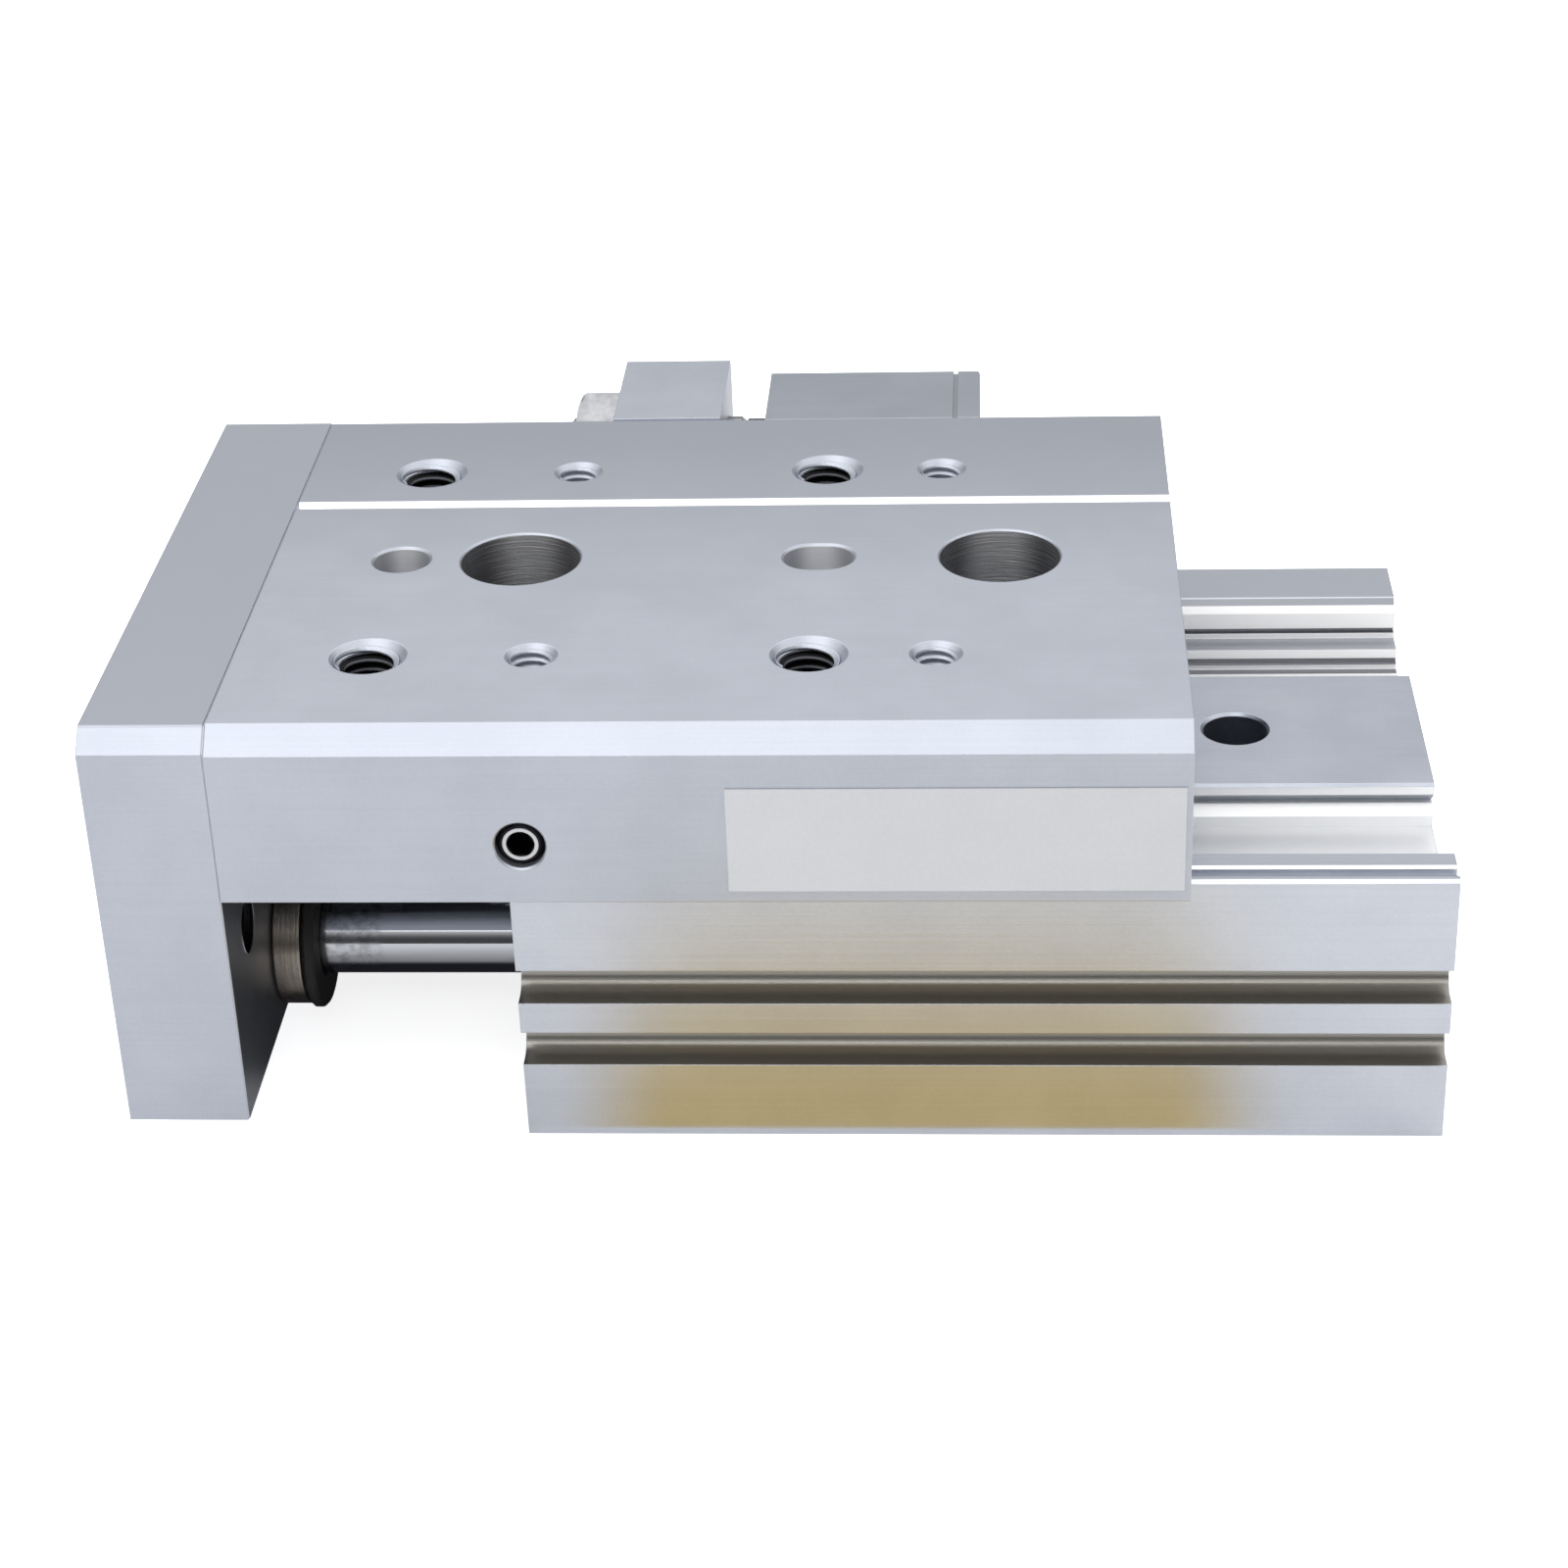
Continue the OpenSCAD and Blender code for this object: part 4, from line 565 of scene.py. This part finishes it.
for a, b in zip(rings, rings[1:] + rings[:1]):
    for i in range(screwRing["steps"]):
        k = (i + 1) % screwRing["steps"]
        build.faces.new((a[i], a[k], b[k], b[i]))
piece = addBuilt("set_screw_ring", build, "aluminiumTurned")
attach(piece, "slider")
print("set screw ring made")


def addSheet(name, width, depth, height, material):
    # a level rectangle in millimetres: its span in X, its span in Y and its height above the part's underside
    mesh = bpy.data.meshes.new(name)
    corners = ((width[0], depth[0]), (width[1], depth[0]), (width[1], depth[1]), (width[0], depth[1]))
    mesh.from_pydata([(x * mm, y * mm, 0) for x, y in corners], [], [(0, 1, 2, 3)])
    mesh.materials.append(material)
    item = addObject(name, mesh)
    item.location.z = cadBounds[0][2] + height * mm
    return item


# matt white paper; what the camera sees of it glows a little, so that it turns white without a horizon
stageLook = {"colour": "#fafafb", "roughness": 0.9, "span": (-3000, 3000), "height": -0.1, "lift": 0.75}
floorMaterial, tree, shader = startMaterial("floorPaper", {
    "Base Color": linear(stageLook["colour"]), "Roughness": stageLook["roughness"],
    "Specular IOR Level": 0.0, "Emission Color": (1, 1, 1, 1)})
seen = addNode(tree, "LightPath").outputs["Is Camera Ray"]
glow = addNode(tree, "Math", {"operation": "MULTIPLY", 0: seen, 1: stageLook["lift"]}).outputs[0]
tree.links.new(glow, shader.inputs["Emission Strength"])
floor = addSheet("floor", stageLook["span"], stageLook["span"], stageLook["height"], floorMaterial)

cards = {
    # what the polished faces mirror on the table top of the studio, in millimetres; never seen directly
    # a warm sheet of packing paper in front of the body, strongest close to it
    "warmCard": {
        "x": (-46, 33), "y": (-104, -35), "tone": (0.66, 0.47, 0.13), "soft": (14, 64), "height": 0.3},
    # painted shade: a black sheet under the overhanging front of the table, for the shade on the floor there
    "paintedShadeCard": {
        "x": (-82, -47), "y": (-27, 70), "tone": (0.02, 0.02, 0.025), "soft": (4, 5), "height": 0.3},
}
for name, card in cards.items():
    (left, right), front = card["x"], card["y"][0]
    softX, softY = card["soft"]
    material = bpy.data.materials.new(name)
    tree = emptyTree(material)
    spot = addNode(tree, "SeparateXYZ", {0: addNode(tree, "TexCoord").outputs["Object"]}).outputs
    cover = 1.0
    edges = (("X", left, left + softX), ("X", right, right - softX), ("Y", front, front + softY))
    for axis, start, end in edges:
        fade = addNode(tree, "MapRange", {
            "interpolation_type": "SMOOTHSTEP", "Value": spot[axis],
            "From Min": start * mm, "From Max": end * mm}).outputs[0]
        cover = addNode(tree, "Math", {"operation": "MULTIPLY", 0: cover, 1: fade}).outputs[0]
    paint = addNode(tree, "Emission", {"Color": card["tone"] + (1,), "Strength": 1.0}).outputs[0]
    clear = addNode(tree, "BsdfTransparent").outputs[0]
    both = addNode(tree, "MixShader", {0: cover, 1: clear, 2: paint}).outputs[0]
    addNode(tree, "OutputMaterial", {"Surface": both})
    sheet = addSheet(name, card["x"], card["y"], card["height"], material)
    sheet.visible_camera = False
    sheet.visible_diffuse = False
    sheet.visible_shadow = False

# the room: white to the camera; in reflections it dims towards the horizon and in front, most in both
roomLook = {
    "light": 1.04, "backLow": 0.28, "backHigh": 1.5, "frontLow": 0.35, "frontHigh": 0.74,
    # from where to where the changes run: heights and forward reach of the direction, whose length is one
    "climbSpan": (0.24, 0.66), "lowSpan": (0.62, 0.3), "frontSpan": (-0.15, -0.5),
}
world = bpy.data.worlds.new("studioRoom")
bpy.context.scene.world = world
tree = emptyTree(world)
path = addNode(tree, "LightPath").outputs
mirrored = addNode(tree, "Math", {
    "operation": "MAXIMUM", 0: path["Is Glossy Ray"], 1: path["Is Transmission Ray"]}).outputs[0]
towards = addNode(tree, "SeparateXYZ", {0: addNode(tree, "TexCoord").outputs["Generated"]}).outputs
climb = addNode(tree, "MapRange", {
    "Value": towards["Z"], "From Min": roomLook["climbSpan"][0], "From Max": roomLook["climbSpan"][1],
    "To Min": roomLook["backLow"], "To Max": roomLook["backHigh"]}).outputs[0]
inFront = addNode(tree, "MapRange", {
    "interpolation_type": "SMOOTHSTEP", "Value": towards["Y"],
    "From Min": roomLook["frontSpan"][0], "From Max": roomLook["frontSpan"][1]}).outputs[0]
low = addNode(tree, "MapRange", {
    "interpolation_type": "SMOOTHSTEP", "Value": towards["Z"],
    "From Min": roomLook["lowSpan"][0], "From Max": roomLook["lowSpan"][1]}).outputs[0]
front = addNode(tree, "MapRange", {
    "Value": low, "To Min": roomLook["frontHigh"], "To Max": roomLook["frontLow"]}).outputs[0]
dim = addNode(tree, "Mix", {"data_type": "FLOAT", 0: inFront, 2: 1.0, 3: front}).outputs[0]
mirror = addNode(tree, "Math", {"operation": "MULTIPLY", 0: climb, 1: dim}).outputs[0]
strength = addNode(tree, "Mix", {
    "data_type": "FLOAT", 0: mirrored, 2: roomLook["light"], 3: mirror}).outputs[0]
strength = addNode(tree, "Mix", {
    "data_type": "FLOAT", 0: path["Is Camera Ray"], 2: strength, 3: 1.0}).outputs[0]
sky = addNode(tree, "Background", {"Color": (1, 1, 1, 1), "Strength": strength}).outputs[0]
addNode(tree, "OutputWorld", {"Surface": sky})

lamps = {
    # a wide softbox high in front lights the chamfers, a small one lower down makes the grooves sparkle;
    # places and sizes in metres, and level 1 is as bright as white paper
    "softboxHigh": {"at": (-0.3, -0.46, 0.83), "size": (1.0, 0.5), "level": 0.95},
    "softboxLow": {"at": (0.0, -0.72, 0.62), "size": (0.5, 0.16), "level": 1.6},
}
lampTarget = Vector((0, 0, 0.03))
for name, lamp in lamps.items():
    light = bpy.data.lights.new(name, "AREA")
    light.shape = "RECTANGLE"
    light.size, light.size_y = lamp["size"]
    light.energy = lamp["level"] * math.pi * light.size * light.size_y
    holder = addObject(name, light)
    holder.location = lamp["at"]
    holder.rotation_euler = (lampTarget - Vector(lamp["at"])).to_track_quat("-Z", "Y").to_euler()

# place in millimetres, turn in degrees, the lens and the width of the sensor in millimetres
shot = {"at": (1.61, -323.41, 202.03), "turn": (60.97, 1.91, 3.02), "lens": 78.25, "sensor": 36}
lens = bpy.data.cameras.new("camera")
lens.lens = shot["lens"]
lens.sensor_width = shot["sensor"]
lens.clip_start = 10 * mm
camera = addObject("camera", lens)
camera.location = Vector(shot["at"]) * mm
camera.rotation_euler = [math.radians(a) for a in shot["turn"]]
bpy.context.scene.camera = camera
bpy.context.scene.view_settings.view_transform = "Standard"
print("stage, lamps and camera set")
